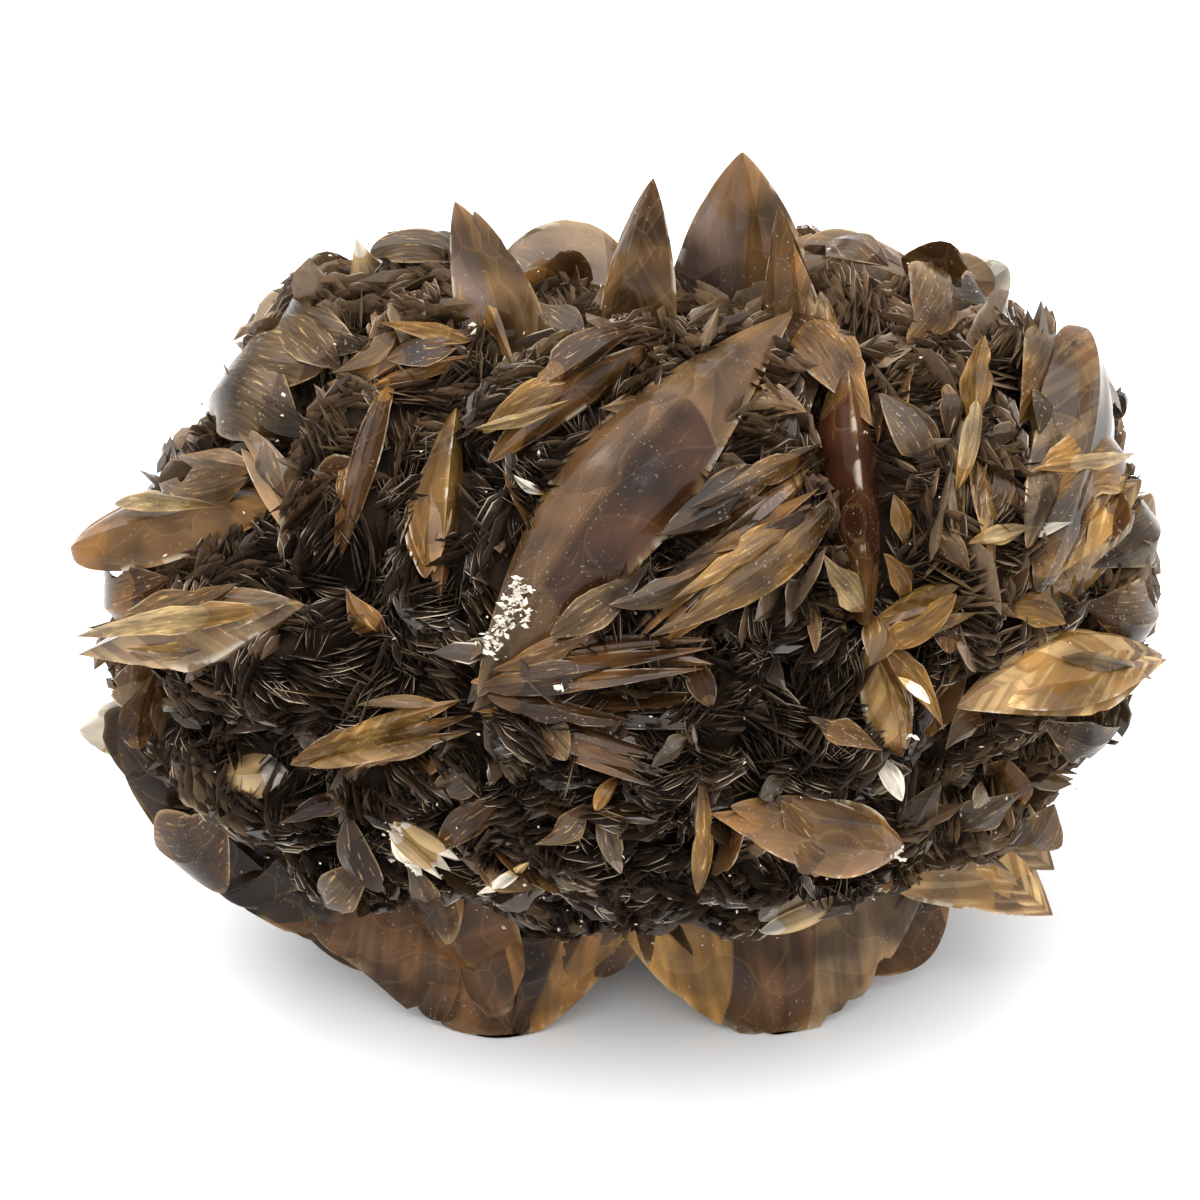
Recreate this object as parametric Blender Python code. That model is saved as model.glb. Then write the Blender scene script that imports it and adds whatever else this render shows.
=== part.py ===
"""A brown selenite cluster: a ball of intergrown gypsum rosettes with lens-shaped blades standing out of it.

Frame: metres, +Z up, +X to the right and -Y towards whoever looks at the front. The origin is on the
surface that the cluster rests on, under the middle of its bounding box. All lengths below are in
millimetres and are scaled once, when the mesh is made.
"""

import math
import random
from collections import namedtuple

import bmesh
import bpy
from mathutils import Matrix, Vector, noise

MM = 0.001

# Where the middle of the ball stands, which centres the whole cluster over the origin
BODY_CENTRE = Vector((1.5, 2.0, 47.0))

# The ball that everything grows out of
ROUNDING_PER_MM = 0.8
BODY_POINTS = 330
BODY_JITTER = 0.05
BODY_SEED = 3
BODY_INSET = 3.2
LUMP_SIZE = 12.0
LUMP_HEIGHT = 3.2

# The rims of small lenses that stand on edge side by side, one on each pair of the ball's faces
RIM_HEIGHT = (1.8, 4.2)
RIM_LEAN = 0.3
RIM_ENDS = (0.25, 0.75)

# Rosettes all over the ball, each a fan of lenses that stand on edge along one hinge line
ROSETTES = 44
ROSETTE_SEED = 13
ROSETTE_JITTER = 0.10
FAN_BLADES = 3
FAN_SPLAY = math.radians(38)
FAN_SPLAY_JITTER = math.radians(6)
FAN_DEPTH = 4.0
FAN_REACH = (5.6, 7.4)
FAN_LEAN = math.radians(28)
FAN_LENGTH = (10.0, 15.0)
FAN_WIDTH = 0.6
FAN_THICKNESS = 0.2
FAN_SECTIONS = 1

# Large blades on the sides that the front does not show
SIDE_BLADES = 36
SIDE_SEED = 5
SIDE_LENGTH = (18.0, 30.0)
SIDE_WIDTH = 0.5
SIDE_THICKNESS = 0.22
SIDE_SINK = 0.45
FRONT_CLEARANCE = 0.3

LARGE_SECTIONS = 3

SELENITE_BROWN = (0.16, 0.095, 0.055, 1.0)

# Unit vectors that a blade's broad face may look along
FRONT = (0.0, -0.87, 0.5)
UP_FRONT = (0.0, -0.5, 0.87)
LEFT_FRONT = (-0.5, -0.75, 0.43)
RIGHT_FRONT = (0.5, -0.75, 0.43)
RIGHT = (1.0, 0.0, 0.0)

# An ellipsoid of the ball: its centre, from the middle of the ball, and its three radii
Lobe = namedtuple("Lobe", "centre radii")
LOBES = (
    Lobe((3, -2, 0), (44, 41, 38)),
    Lobe((-29, 0, -3), (33, 35, 33)),
    Lobe((29, 3, 1), (33, 36, 36)),
    Lobe((-22, 8, 17), (27, 24, 24)),
    Lobe((25, 10, 18), (25, 22, 21)),
    Lobe((1, 14, -24), (28, 20, 27)),
)

# A lens-shaped crystal. tip and root are the ends of its long axis, from the middle of the ball, facing is
# the way its broad face looks, widest is where along the axis it is widest, ridge is how far its ridge
# lies to one side, from -1 to 1, bulge is how far its middle is bent towards facing, blunt is 1 for a
# long point and less for a rounded end, and keel is how much deeper its back is than its front.
Blade = namedtuple(
    "Blade",
    "name tip root width thick facing widest ridge bulge blunt keel",
    defaults=(0.5, 0.0, 0.0, 0.8, 2.0),
)

LARGE_BLADES = (
    # Along the top, from left to right
    Blade("top_splinter", (-32, 9, 43.3), (-29, 6, 33), 5, 1.6, FRONT, 0.6),
    Blade("top_left_spear", (-19.9, 3, 50.2), (-9.5, -9, 26), 9.5, 6.5, FRONT, 0.45, -0.3),
    Blade("top_dome", (-16, 13, 37), (1, 11, 35.5), 15, 4, FRONT, 0.5, 0.0, 0.0, 0.55),
    Blade("top_middle_spear", (2.6, -3, 55.4), (-1, -5, 20), 10.5, 5.5, LEFT_FRONT, 0.5, 0.25),
    Blade("top_pyramid", (12.8, 7, 54.6), (13.5, 12, 18), 17, 11, FRONT, 0.5, -0.35, 0.0, 0.75),
    Blade("top_right_spear", (16.8, 1, 50.5), (20.5, -4, 26), 7.5, 5, LEFT_FRONT, 0.5, 0.3),
    Blade("top_right_plate", (21, -3, 43), (22, -8, 30), 6, 3.5, LEFT_FRONT, 0.5, 0.2),
    Blade("top_back_plate", (18, 16, 38), (38, 20, 30), 12, 4, UP_FRONT, 0.5, 0.0, 1.0, 0.6),
    Blade("top_right_nub", (45.5, 17, 36), (34, 16, 27), 8, 4, FRONT, 0.4),
    # The large blade across the front and those round it
    Blade("front_great_lens", (-16.2, -42.5, 12.2), (18.5, -4.5, 40.0), 14.5, 8, UP_FRONT, 0.45, -0.1, 6.5),
    Blade("front_crescent", (-15.5, -23.5, 30.5), (3.5, -11.5, 39.5), 9.5, 5, UP_FRONT, 0.45, 0.3, 2.0),
    Blade("front_arch", (-31, -9.5, 32.5), (-15.5, -6, 37), 7.5, 4.5, UP_FRONT, 0.6, 0.2, 2.5),
    Blade("front_left_strap", (-26.5, -9, 34.5), (-31.8, -27, 20.5), 6.5, 3, UP_FRONT, 0.5, 0.0, 2.5),
    Blade("front_gold_needle", (-19.3, -15, 33), (-20.5, -34, 18.5), 7, 3, RIGHT, 0.45, 0.0, 0.0),
    Blade("front_pale_scale", (-22, -19, 29), (-22.2, -31.5, 20.5), 8.5, 3, LEFT_FRONT, 0.5, -0.4),
    Blade("front_gold_spar", (20.5, -29, 30), (0.5, -41, 17.5), 6.5, 4, UP_FRONT, 0.5, 0.3, 1.5),
    Blade("front_brown_spar", (20, -25, 31), (4, -34.5, 24.5), 7, 4, UP_FRONT, 0.5, -0.2, 1.5),
    Blade("front_red_keel", (24, -13, 37.5), (25.5, -35, 16.5), 15, 5, RIGHT, 0.5, 0.0, 0.0, 0.6),
    Blade("front_fan_upper", (-17, -40.5, 12.5), (9, -41, 17), 6.5, 3.5, UP_FRONT, 0.5, 0.3, 2.5),
    Blade("front_fan_middle", (-16.5, -40.5, 9), (9, -41.5, 11), 6.5, 5, FRONT, 0.5, -0.3, 1.0),
    Blade("front_fan_lower", (-14, -41, 8.5), (5, -44.5, 4), 7, 3.5, FRONT, 0.5, 0.2, 1.0),
    Blade("front_twin_left", (18, -31.5, 22.5), (23.5, -32.5, 14.5), 5.5, 5, RIGHT_FRONT, 0.5, 0.4),
    Blade("front_gold_facet", (26, -34, 14.5), (30, -37, 1), 8.5, 5, RIGHT_FRONT, 0.55, 0.4),
    Blade("front_gold_wing", (25.5, -32.5, 14), (38, -30.5, 17.5), 6, 4, RIGHT_FRONT, 0.5, 0.2),
    Blade("front_clear_scale", (8.5, -45, -1), (31, -36, -12), 11, 4.5, (0.35, -0.87, 0.33), 0.6, 0.1, 1.5),
    Blade("front_low_sliver", (14, -37.5, -22), (26, -34.5, -16.5), 5.5, 3.5, FRONT, 0.5, 0.3, 1.0),
    Blade("front_left_leaf", (-37, -36.5, 0), (-17, -38.5, 7.5), 7, 5, FRONT, 0.5, 0.3),
    Blade("front_cream_chip", (-27, -36.5, -8), (-20, -38, -13.5), 6, 4, FRONT, 0.5, -0.2),
    Blade("front_cream_sliver", (-47.5, -27.5, -7.5), (-38.5, -32.5, -4), 6, 5, FRONT),
    # The left side
    Blade("left_great_spear", (-63.4, -20, 3.9), (-35.6, -30.5, 16.6), 11, 9, UP_FRONT, 0.55, 0.15),
    Blade("left_blunt_spear", (-65.2, -9, 11.5), (-38, -15, 22), 10, 6, UP_FRONT, 0.4, 0.1, 0.0, 0.6),
    Blade("left_cream_nub", (-66.0, -12, -11.5), (-48, -10, -13), 9, 5, UP_FRONT, 0.5, 0.0, 0.0, 0.6),
    Blade("left_upper_keel", (-45, -8, 27), (-33, -22, 17), 9, 4, UP_FRONT, 0.5, 0.3, 2.0),
    # The right side
    Blade("right_great_spear", (61.4, -19, 3.2), (36, -34, 5.5), 12, 8, UP_FRONT, 0.5, 0.35, 2.0),
    Blade("right_great_wing", (53, 6, 33), (45, -27, 16), 19, 8, RIGHT_FRONT, 0.4, 0.1, 2.0, 0.65),
    Blade("right_low_wing", (59, -10, 21), (38, -27, 13), 13, 6, RIGHT_FRONT, 0.5, 0.2, 0.0),
    Blade("right_back_wing", (63, 4, 12), (46, -14, -4), 14, 5, RIGHT_FRONT, 0.5, 0.1, 0.0, 0.65),
    Blade("right_low_spear", (51.8, -17, -35.2), (24, -15, -14), 17, 6, FRONT, 0.5, 0.1, 0.0, 0.75),
    Blade("right_inner_leaf", (37, -16.5, 30), (38, -28.5, 19.5), 6, 4, FRONT, 0.5, 0.2, 0.5),
    # The blades that carry it at the front
    Blade("left_foot", (-57, -12, -27), (2, -17, -32), 41, 9, FRONT, 0.7, 0.0, 0.0, 0.75),
    Blade("left_foot_outer", (-60.5, -15, -9), (-34, -17, -39), 19, 5, FRONT, 0.5, 0.1, 0.0, 0.6),
    Blade("left_foot_inner", (-26, -20, -20), (-12, -26, -46), 17, 6, LEFT_FRONT, 0.55, 0.2, 0.0, 0.6),
    Blade("right_foot", (-1.5, -19, -34.5), (37, -13, -30), 37, 9, FRONT, 0.48, 0.0, 0.0, 0.75),
    Blade("right_foot_outer", (21, -20, -44), (40, -9, -25), 16, 6, RIGHT_FRONT, 0.5, 0.1, 0.0, 0.65),
)


def lobe_reach(lobe, direction):
    """How far from the middle of the ball a ray leaves this lobe, or 0 where it misses it."""
    ray = Vector(d / r for d, r in zip(direction, lobe.radii))
    start = Vector(-c / r for c, r in zip(lobe.centre, lobe.radii))
    a, b, c = ray.dot(ray), ray.dot(start), start.dot(start) - 1
    inside_root = b * b - a * c
    return (-b + math.sqrt(inside_root)) / a if inside_root > 0 else 0.0


def ball_radius(direction):
    """The reach of the whole ball, with the creases between its lobes rounded."""
    reaches = [lobe_reach(lobe, direction) for lobe in LOBES]
    most = max(reaches)
    total = sum(math.exp(ROUNDING_PER_MM * (reach - most)) for reach in reaches)
    return most + math.log(total) / ROUNDING_PER_MM


def surface_point(direction):
    return direction * ball_radius(direction)


def surface_normal(direction):
    """The outward normal, from two short steps across the surface."""
    across = direction.orthogonal().normalized()
    along = direction.cross(across)
    step = 0.02
    ends = [
        surface_point((direction + step * way).normalized())
        for way in (across, -across, along, -along)
    ]
    normal = (ends[0] - ends[1]).cross(ends[2] - ends[3])
    return normal.normalized() * math.copysign(1.0, normal.dot(direction))


def spread_directions(count, rng, jitter):
    """Unit vectors spread evenly over a sphere, each moved a little."""
    golden_angle = math.pi * (3 - math.sqrt(5))
    for i in range(count):
        height = 1 - (2 * i + 1) / count
        ring = math.sqrt(1 - height * height)
        turn = golden_angle * i
        even = Vector((ring * math.cos(turn), ring * math.sin(turn), height))
        yield (even + Vector(rng.uniform(-jitter, jitter) for _ in range(3))).normalized()


def add_blade(bm, blade, sections):
    """One closed lens: rings of four corners, two on its rim and two on its ridges, between two points."""
    tip, root = Vector(blade.tip), Vector(blade.root)
    axis = (root - tip).normalized()
    facing = Vector(blade.facing)
    facing = (facing - axis * facing.dot(axis)).normalized()
    side = axis.cross(facing)
    bias = math.log(0.5) / math.log(blade.widest)

    def spine(t):
        return tip.lerp(root, t) + facing * (blade.bulge * 4 * t * (1 - t))

    rings = []
    for i in range(sections):
        t = (i + 1) / (sections + 1)
        swell = math.sin(math.pi * t**bias) ** blade.blunt
        centre = spine(t)
        half_width = side * (blade.width / 2 * swell)
        ridge = centre + half_width * blade.ridge
        front = ridge + facing * (blade.thick / 2 * swell)
        back = ridge - facing * ((blade.thick / 2 + blade.keel) * swell)
        corners = (centre + half_width, front, centre - half_width, back)
        rings.append([bm.verts.new(corner) for corner in corners])
    ends = [bm.verts.new(end) for end in (tip, root)]
    for i in range(4):
        j = (i + 1) % 4
        bm.faces.new((ends[0], rings[0][j], rings[0][i]))
        bm.faces.new((ends[1], rings[-1][i], rings[-1][j]))
        for near, far in zip(rings, rings[1:]):
            bm.faces.new((near[i], near[j], far[j], far[i]))


def random_tangent(normal, rng):
    return Matrix.Rotation(rng.uniform(0, 2 * math.pi), 3, normal) @ normal.orthogonal().normalized()


def rosette(direction, rng):
    """The blades of one fan."""
    normal = surface_normal(direction)
    hinge = random_tangent(normal, rng)
    foot = surface_point(direction) - normal * FAN_DEPTH
    for i in range(FAN_BLADES):
        splay = (i - (FAN_BLADES - 1) / 2) * FAN_SPLAY
        splay += rng.uniform(-FAN_SPLAY_JITTER, FAN_SPLAY_JITTER)
        out = Matrix.Rotation(splay, 3, hinge) @ normal
        lean = rng.uniform(-FAN_LEAN, FAN_LEAN)
        axis = hinge * math.cos(lean) + out * math.sin(lean)
        length = rng.uniform(*FAN_LENGTH)
        width = length * FAN_WIDTH * rng.uniform(0.8, 1.2)
        thick = length * FAN_THICKNESS * rng.uniform(0.8, 1.3)
        middle = foot + out * (rng.uniform(*FAN_REACH) - width / 2)
        tip, root = middle + axis * length / 2, middle - axis * length / 2
        yield Blade("fan", tip, root, width, thick, out.cross(hinge), rng.uniform(0.35, 0.65), keel=0.0)


def side_blade(direction, rng):
    """A large blade that leans out of the ball at a slant, its root under the surface."""
    normal = surface_normal(direction)
    axis = (normal * rng.uniform(0.35, 1.2) + random_tangent(normal, rng)).normalized()
    length = rng.uniform(*SIDE_LENGTH)
    tip = surface_point(direction) + axis * length * (1 - SIDE_SINK) - normal * length * 0.12
    facing = random_tangent(axis, rng)
    width = length * SIDE_WIDTH * rng.uniform(0.75, 1.2)
    thick = length * SIDE_THICKNESS * rng.uniform(0.8, 1.3)
    ridge = rng.uniform(-0.3, 0.3)
    root = tip - axis * length
    return Blade("side", tip, root, width, thick, facing, 0.5, ridge, 0.0, rng.uniform(0.65, 0.9))


def seen_from_front(direction):
    return Vector(FRONT).dot(direction) > -FRONT_CLEARANCE


def all_blades():
    """(blade, sections) of every blade that has its own solid form."""
    for blade in LARGE_BLADES:
        yield blade, LARGE_SECTIONS
    rng = random.Random(SIDE_SEED)
    for direction in spread_directions(SIDE_BLADES, rng, ROSETTE_JITTER):
        blade = side_blade(direction, rng)
        if not seen_from_front(direction):
            yield blade, LARGE_SECTIONS
    rng = random.Random(ROSETTE_SEED)
    for direction in spread_directions(ROSETTES, rng, ROSETTE_JITTER):
        for blade in rosette(direction, rng):
            yield blade, FAN_SECTIONS


def new_object(name, bm):
    bmesh.ops.recalc_face_normals(bm, faces=bm.faces)
    mesh = bpy.data.meshes.new(name)
    bmesh.ops.scale(bm, vec=(MM, MM, MM), verts=bm.verts)
    bm.to_mesh(mesh)
    bm.free()
    made = bpy.data.objects.new(name, mesh)
    bpy.context.scene.collection.objects.link(made)
    return made


def raise_rims(bm, rng):
    """Pulls a ridge up along the longer diagonal of each pair of faces, leaning to one side."""
    half_turn = math.pi
    bmesh.ops.join_triangles(
        bm, faces=bm.faces, angle_face_threshold=half_turn, angle_shape_threshold=half_turn
    )
    for face in [face for face in bm.faces if len(face.verts) == 4]:
        a, b, c, d = face.verts
        if (a.co - c.co).length < (b.co - d.co).length:
            a, b, c, d = b, c, d, a
        lift = face.normal * rng.uniform(*RIM_HEIGHT) + (b.co - d.co) * rng.uniform(-RIM_LEAN, RIM_LEAN)
        near, far = (bm.verts.new(a.co.lerp(c.co, end) + lift) for end in RIM_ENDS)
        bm.faces.remove(face)
        for corners in (
            (a, b, near), (b, far, near), (b, c, far), (c, d, far), (d, near, far), (d, a, near)
        ):
            bm.faces.new(corners)


def make_ball():
    """The ball as a lumpy shell with rims all over it."""
    bm = bmesh.new()
    rng = random.Random(BODY_SEED)
    for direction in spread_directions(BODY_POINTS, rng, BODY_JITTER):
        bm.verts.new(direction)
    bmesh.ops.convex_hull(bm, input=bm.verts)
    for vert in bm.verts:
        direction = vert.co.normalized()
        point = surface_point(direction)
        lumps = LUMP_HEIGHT * noise.noise(point / LUMP_SIZE)
        vert.co = point + direction * (lumps - BODY_INSET)
    bm.normal_update()
    raise_rims(bm, rng)
    return new_object("selenite_cluster", bm)


def make_blade_helpers():
    """Every blade as an object of its own, in a collection that the ball is joined with."""
    helpers = bpy.data.collections.new("blades")
    bpy.context.scene.collection.children.link(helpers)
    for i, (blade, sections) in enumerate(all_blades()):
        bm = bmesh.new()
        add_blade(bm, blade, sections)
        helper = new_object(f"blade_{i:03d}", bm)
        bpy.context.scene.collection.objects.unlink(helper)
        helpers.objects.link(helper)
        helper.hide_render = True
        helper.display_type = "WIRE"
    return helpers


def fuse(ball, helpers):
    """Joins the blades to the ball and keeps the result as a plain mesh."""
    join = ball.modifiers.new("grown_together", "BOOLEAN")
    join.operation = "UNION"
    join.solver = "EXACT"
    join.operand_type = "COLLECTION"
    join.collection = helpers
    graph = bpy.context.evaluated_depsgraph_get()
    fused = bpy.data.meshes.new_from_object(ball.evaluated_get(graph))
    ball.modifiers.clear()
    ball.data = fused
    for helper in list(helpers.objects):
        bpy.data.objects.remove(helper)


def islands(bm):
    """The connected shells of a mesh, as lists of faces."""
    left = set(bm.faces)
    while left:
        shell, edge = [], [left.pop()]
        while edge:
            face = edge.pop()
            shell.append(face)
            for border in face.edges:
                for other in border.link_faces:
                    if other in left:
                        left.remove(other)
                        edge.append(other)
        yield shell


def stand_up(ball):
    """Moves the cluster over the origin, cuts away what would reach below the surface and closes the
    cuts, which are its flat resting spots. It then drops the small shells round spaces that the blades
    closed off."""
    bm = bmesh.new()
    bm.from_mesh(ball.data)
    bmesh.ops.translate(bm, vec=BODY_CENTRE * MM, verts=bm.verts)
    geometry = bm.verts[:] + bm.edges[:] + bm.faces[:]
    floor = (0, 0, 0)
    bmesh.ops.bisect_plane(bm, geom=geometry, plane_co=floor, plane_no=(0, 0, 1), clear_inner=True)
    bmesh.ops.holes_fill(bm, edges=[edge for edge in bm.edges if edge.is_boundary])
    shells = sorted(islands(bm), key=len)
    waste = [face for shell in shells[:-1] for face in shell]
    bmesh.ops.delete(bm, geom=waste, context="FACES")
    bmesh.ops.triangulate(bm, faces=bm.faces)
    bmesh.ops.recalc_face_normals(bm, faces=bm.faces)
    bm.to_mesh(ball.data)
    bm.free()


def selenite_material():
    material = bpy.data.materials.new("brown_selenite")
    material.use_nodes = True
    shader = material.node_tree.nodes["Principled BSDF"]
    shader.inputs["Base Color"].default_value = SELENITE_BROWN
    shader.inputs["Roughness"].default_value = 0.3
    shader.inputs["Metallic"].default_value = 0.0
    shader.inputs["IOR"].default_value = 1.52
    return material


def main():
    for old in list(bpy.data.objects):
        bpy.data.objects.remove(old)
    ball = make_ball()
    fuse(ball, make_blade_helpers())
    stand_up(ball)
    ball.data.materials.clear()
    ball.data.materials.append(selenite_material())


main()
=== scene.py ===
"""The looks of the brown selenite cluster: a ball of fine gypsum blades in fans, with large lens-shaped
blades standing out of it.

Lengths in the tables are millimetres from the middle of the ball, the frame that the part's own source
uses, and are moved and scaled once when a mesh is made. Every finished piece is in metres, +Z up.
"""

import math
import random
from collections import namedtuple

import bmesh
import bpy
import numpy as np
from mathutils import Matrix, Vector, noise


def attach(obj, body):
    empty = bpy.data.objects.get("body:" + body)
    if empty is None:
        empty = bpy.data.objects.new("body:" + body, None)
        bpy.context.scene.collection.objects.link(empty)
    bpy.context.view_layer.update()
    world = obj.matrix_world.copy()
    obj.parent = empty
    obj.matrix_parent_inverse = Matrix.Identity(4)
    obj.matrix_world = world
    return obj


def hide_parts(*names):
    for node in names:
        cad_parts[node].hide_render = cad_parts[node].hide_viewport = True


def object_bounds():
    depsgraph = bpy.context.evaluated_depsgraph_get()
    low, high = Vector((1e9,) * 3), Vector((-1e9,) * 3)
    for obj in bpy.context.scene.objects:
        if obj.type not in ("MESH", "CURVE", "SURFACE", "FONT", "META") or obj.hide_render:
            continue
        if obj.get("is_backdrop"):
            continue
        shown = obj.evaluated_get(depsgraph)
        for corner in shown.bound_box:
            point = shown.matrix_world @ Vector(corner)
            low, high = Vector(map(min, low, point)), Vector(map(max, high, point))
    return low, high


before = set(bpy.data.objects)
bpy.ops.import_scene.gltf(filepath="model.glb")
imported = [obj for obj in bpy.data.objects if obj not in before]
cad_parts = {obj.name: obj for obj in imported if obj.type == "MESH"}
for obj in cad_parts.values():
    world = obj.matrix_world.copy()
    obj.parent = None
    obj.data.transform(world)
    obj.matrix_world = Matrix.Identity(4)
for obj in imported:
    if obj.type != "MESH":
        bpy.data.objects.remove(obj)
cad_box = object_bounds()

MM = 0.001
NODE = "selenite_cluster"
BODY_CENTRE = Vector((1.5, 2.0, 47.0))

# The ball and its lobes, as in the part's source
ROUNDING_PER_MM = 0.8
Lobe = namedtuple("Lobe", "centre radii")
LOBES = (
    Lobe((3, -2, 0), (44, 41, 38)),
    Lobe((-29, 0, -3), (33, 35, 33)),
    Lobe((29, 3, 1), (33, 36, 36)),
    Lobe((-22, 8, 17), (27, 24, 24)),
    Lobe((25, 10, 18), (25, 22, 21)),
    Lobe((1, 14, -24), (28, 20, 27)),
)

# The rosettes that have their own solids, as in the part's source
ROSETTES = 44
ROSETTE_SEED = 13
ROSETTE_JITTER = 0.10
FAN_BLADES = 3
FAN_SPLAY = math.radians(38)
FAN_SPLAY_JITTER = math.radians(6)
FAN_DEPTH = 4.0
FAN_REACH = (5.6, 7.4)
FAN_LEAN = math.radians(28)
FAN_LENGTH = (10.0, 15.0)
FAN_WIDTH = 0.6
FAN_THICKNESS = 0.2

# The large blades on the sides that the front does not show, as in the part's source
SIDE_BLADES = 36
SIDE_SEED = 5
SIDE_LENGTH = (18.0, 30.0)
SIDE_WIDTH = 0.5
SIDE_THICKNESS = 0.22
SIDE_SINK = 0.45
SIDE_BURIED = 0.12
SIDE_RISE = (0.35, 1.2)
FRONT_CLEARANCE = 0.3

# Unit vectors that a blade's broad face may look along
FRONT = (0.0, -0.87, 0.5)
UP_FRONT = (0.0, -0.5, 0.87)
LEFT_FRONT = (-0.5, -0.75, 0.43)
RIGHT_FRONT = (0.5, -0.75, 0.43)
RIGHT = (1.0, 0.0, 0.0)

# The photograph's frame of 1200 by 1200 pixels: its scale at the ball's middle, and where that middle shows
CAMERA_DISTANCE = 350.0
CAMERA_ELEVATION = math.radians(30)
TO_CAMERA = Vector((0, -math.cos(CAMERA_ELEVATION), math.sin(CAMERA_ELEVATION)))
PICTURE_UP = Vector((0, math.sin(CAMERA_ELEVATION), math.cos(CAMERA_ELEVATION)))
PIXELS_PER_MM = 8.23
MIDDLE_PIXEL = (630, 597)

# The domes that the fine blades grow on
DOMES = 120
DOME_SEED = 21
DOME_JITTER = 0.12
DOME_RISE = 3.4
DOME_SPREAD = 8.5
SHELL_SINK = 2.6

# How far in front of and behind the origin, in metres, a fine blade may reach, and how much of what is past
# that is pressed back
FAN_LIMIT = 0.0442
FAN_PRESS = 0.7

# The lowest that a point may be, in metres: for the lenses, and for the fine blades
LOWEST_LENS = 0.0002
LOWEST_FAN = 0.0003

# The dark middle of the front, in mm from the ball's middle, and how far from it the cluster stays dark and
# turns pale
# The paler outer parts are partly the crystal's own tone, partly painted light from the bright room round it
DARK_MIDDLE = (-14.0, -46.0, -8.0)
DARK_REACH = 36.0
PALE_REACH = 72.0

# How the shell banks up beside the large blades that lie along it
BANK_REACH = 5.0
BANK_BELOW = 1.0
BANK_MOST = 4.0

Blade = namedtuple(
    "Blade",
    "name tip root width thick facing widest ridge bulge blunt keel",
    defaults=(0.5, 0.0, 0.0, 0.8, 2.0),
)

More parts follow.
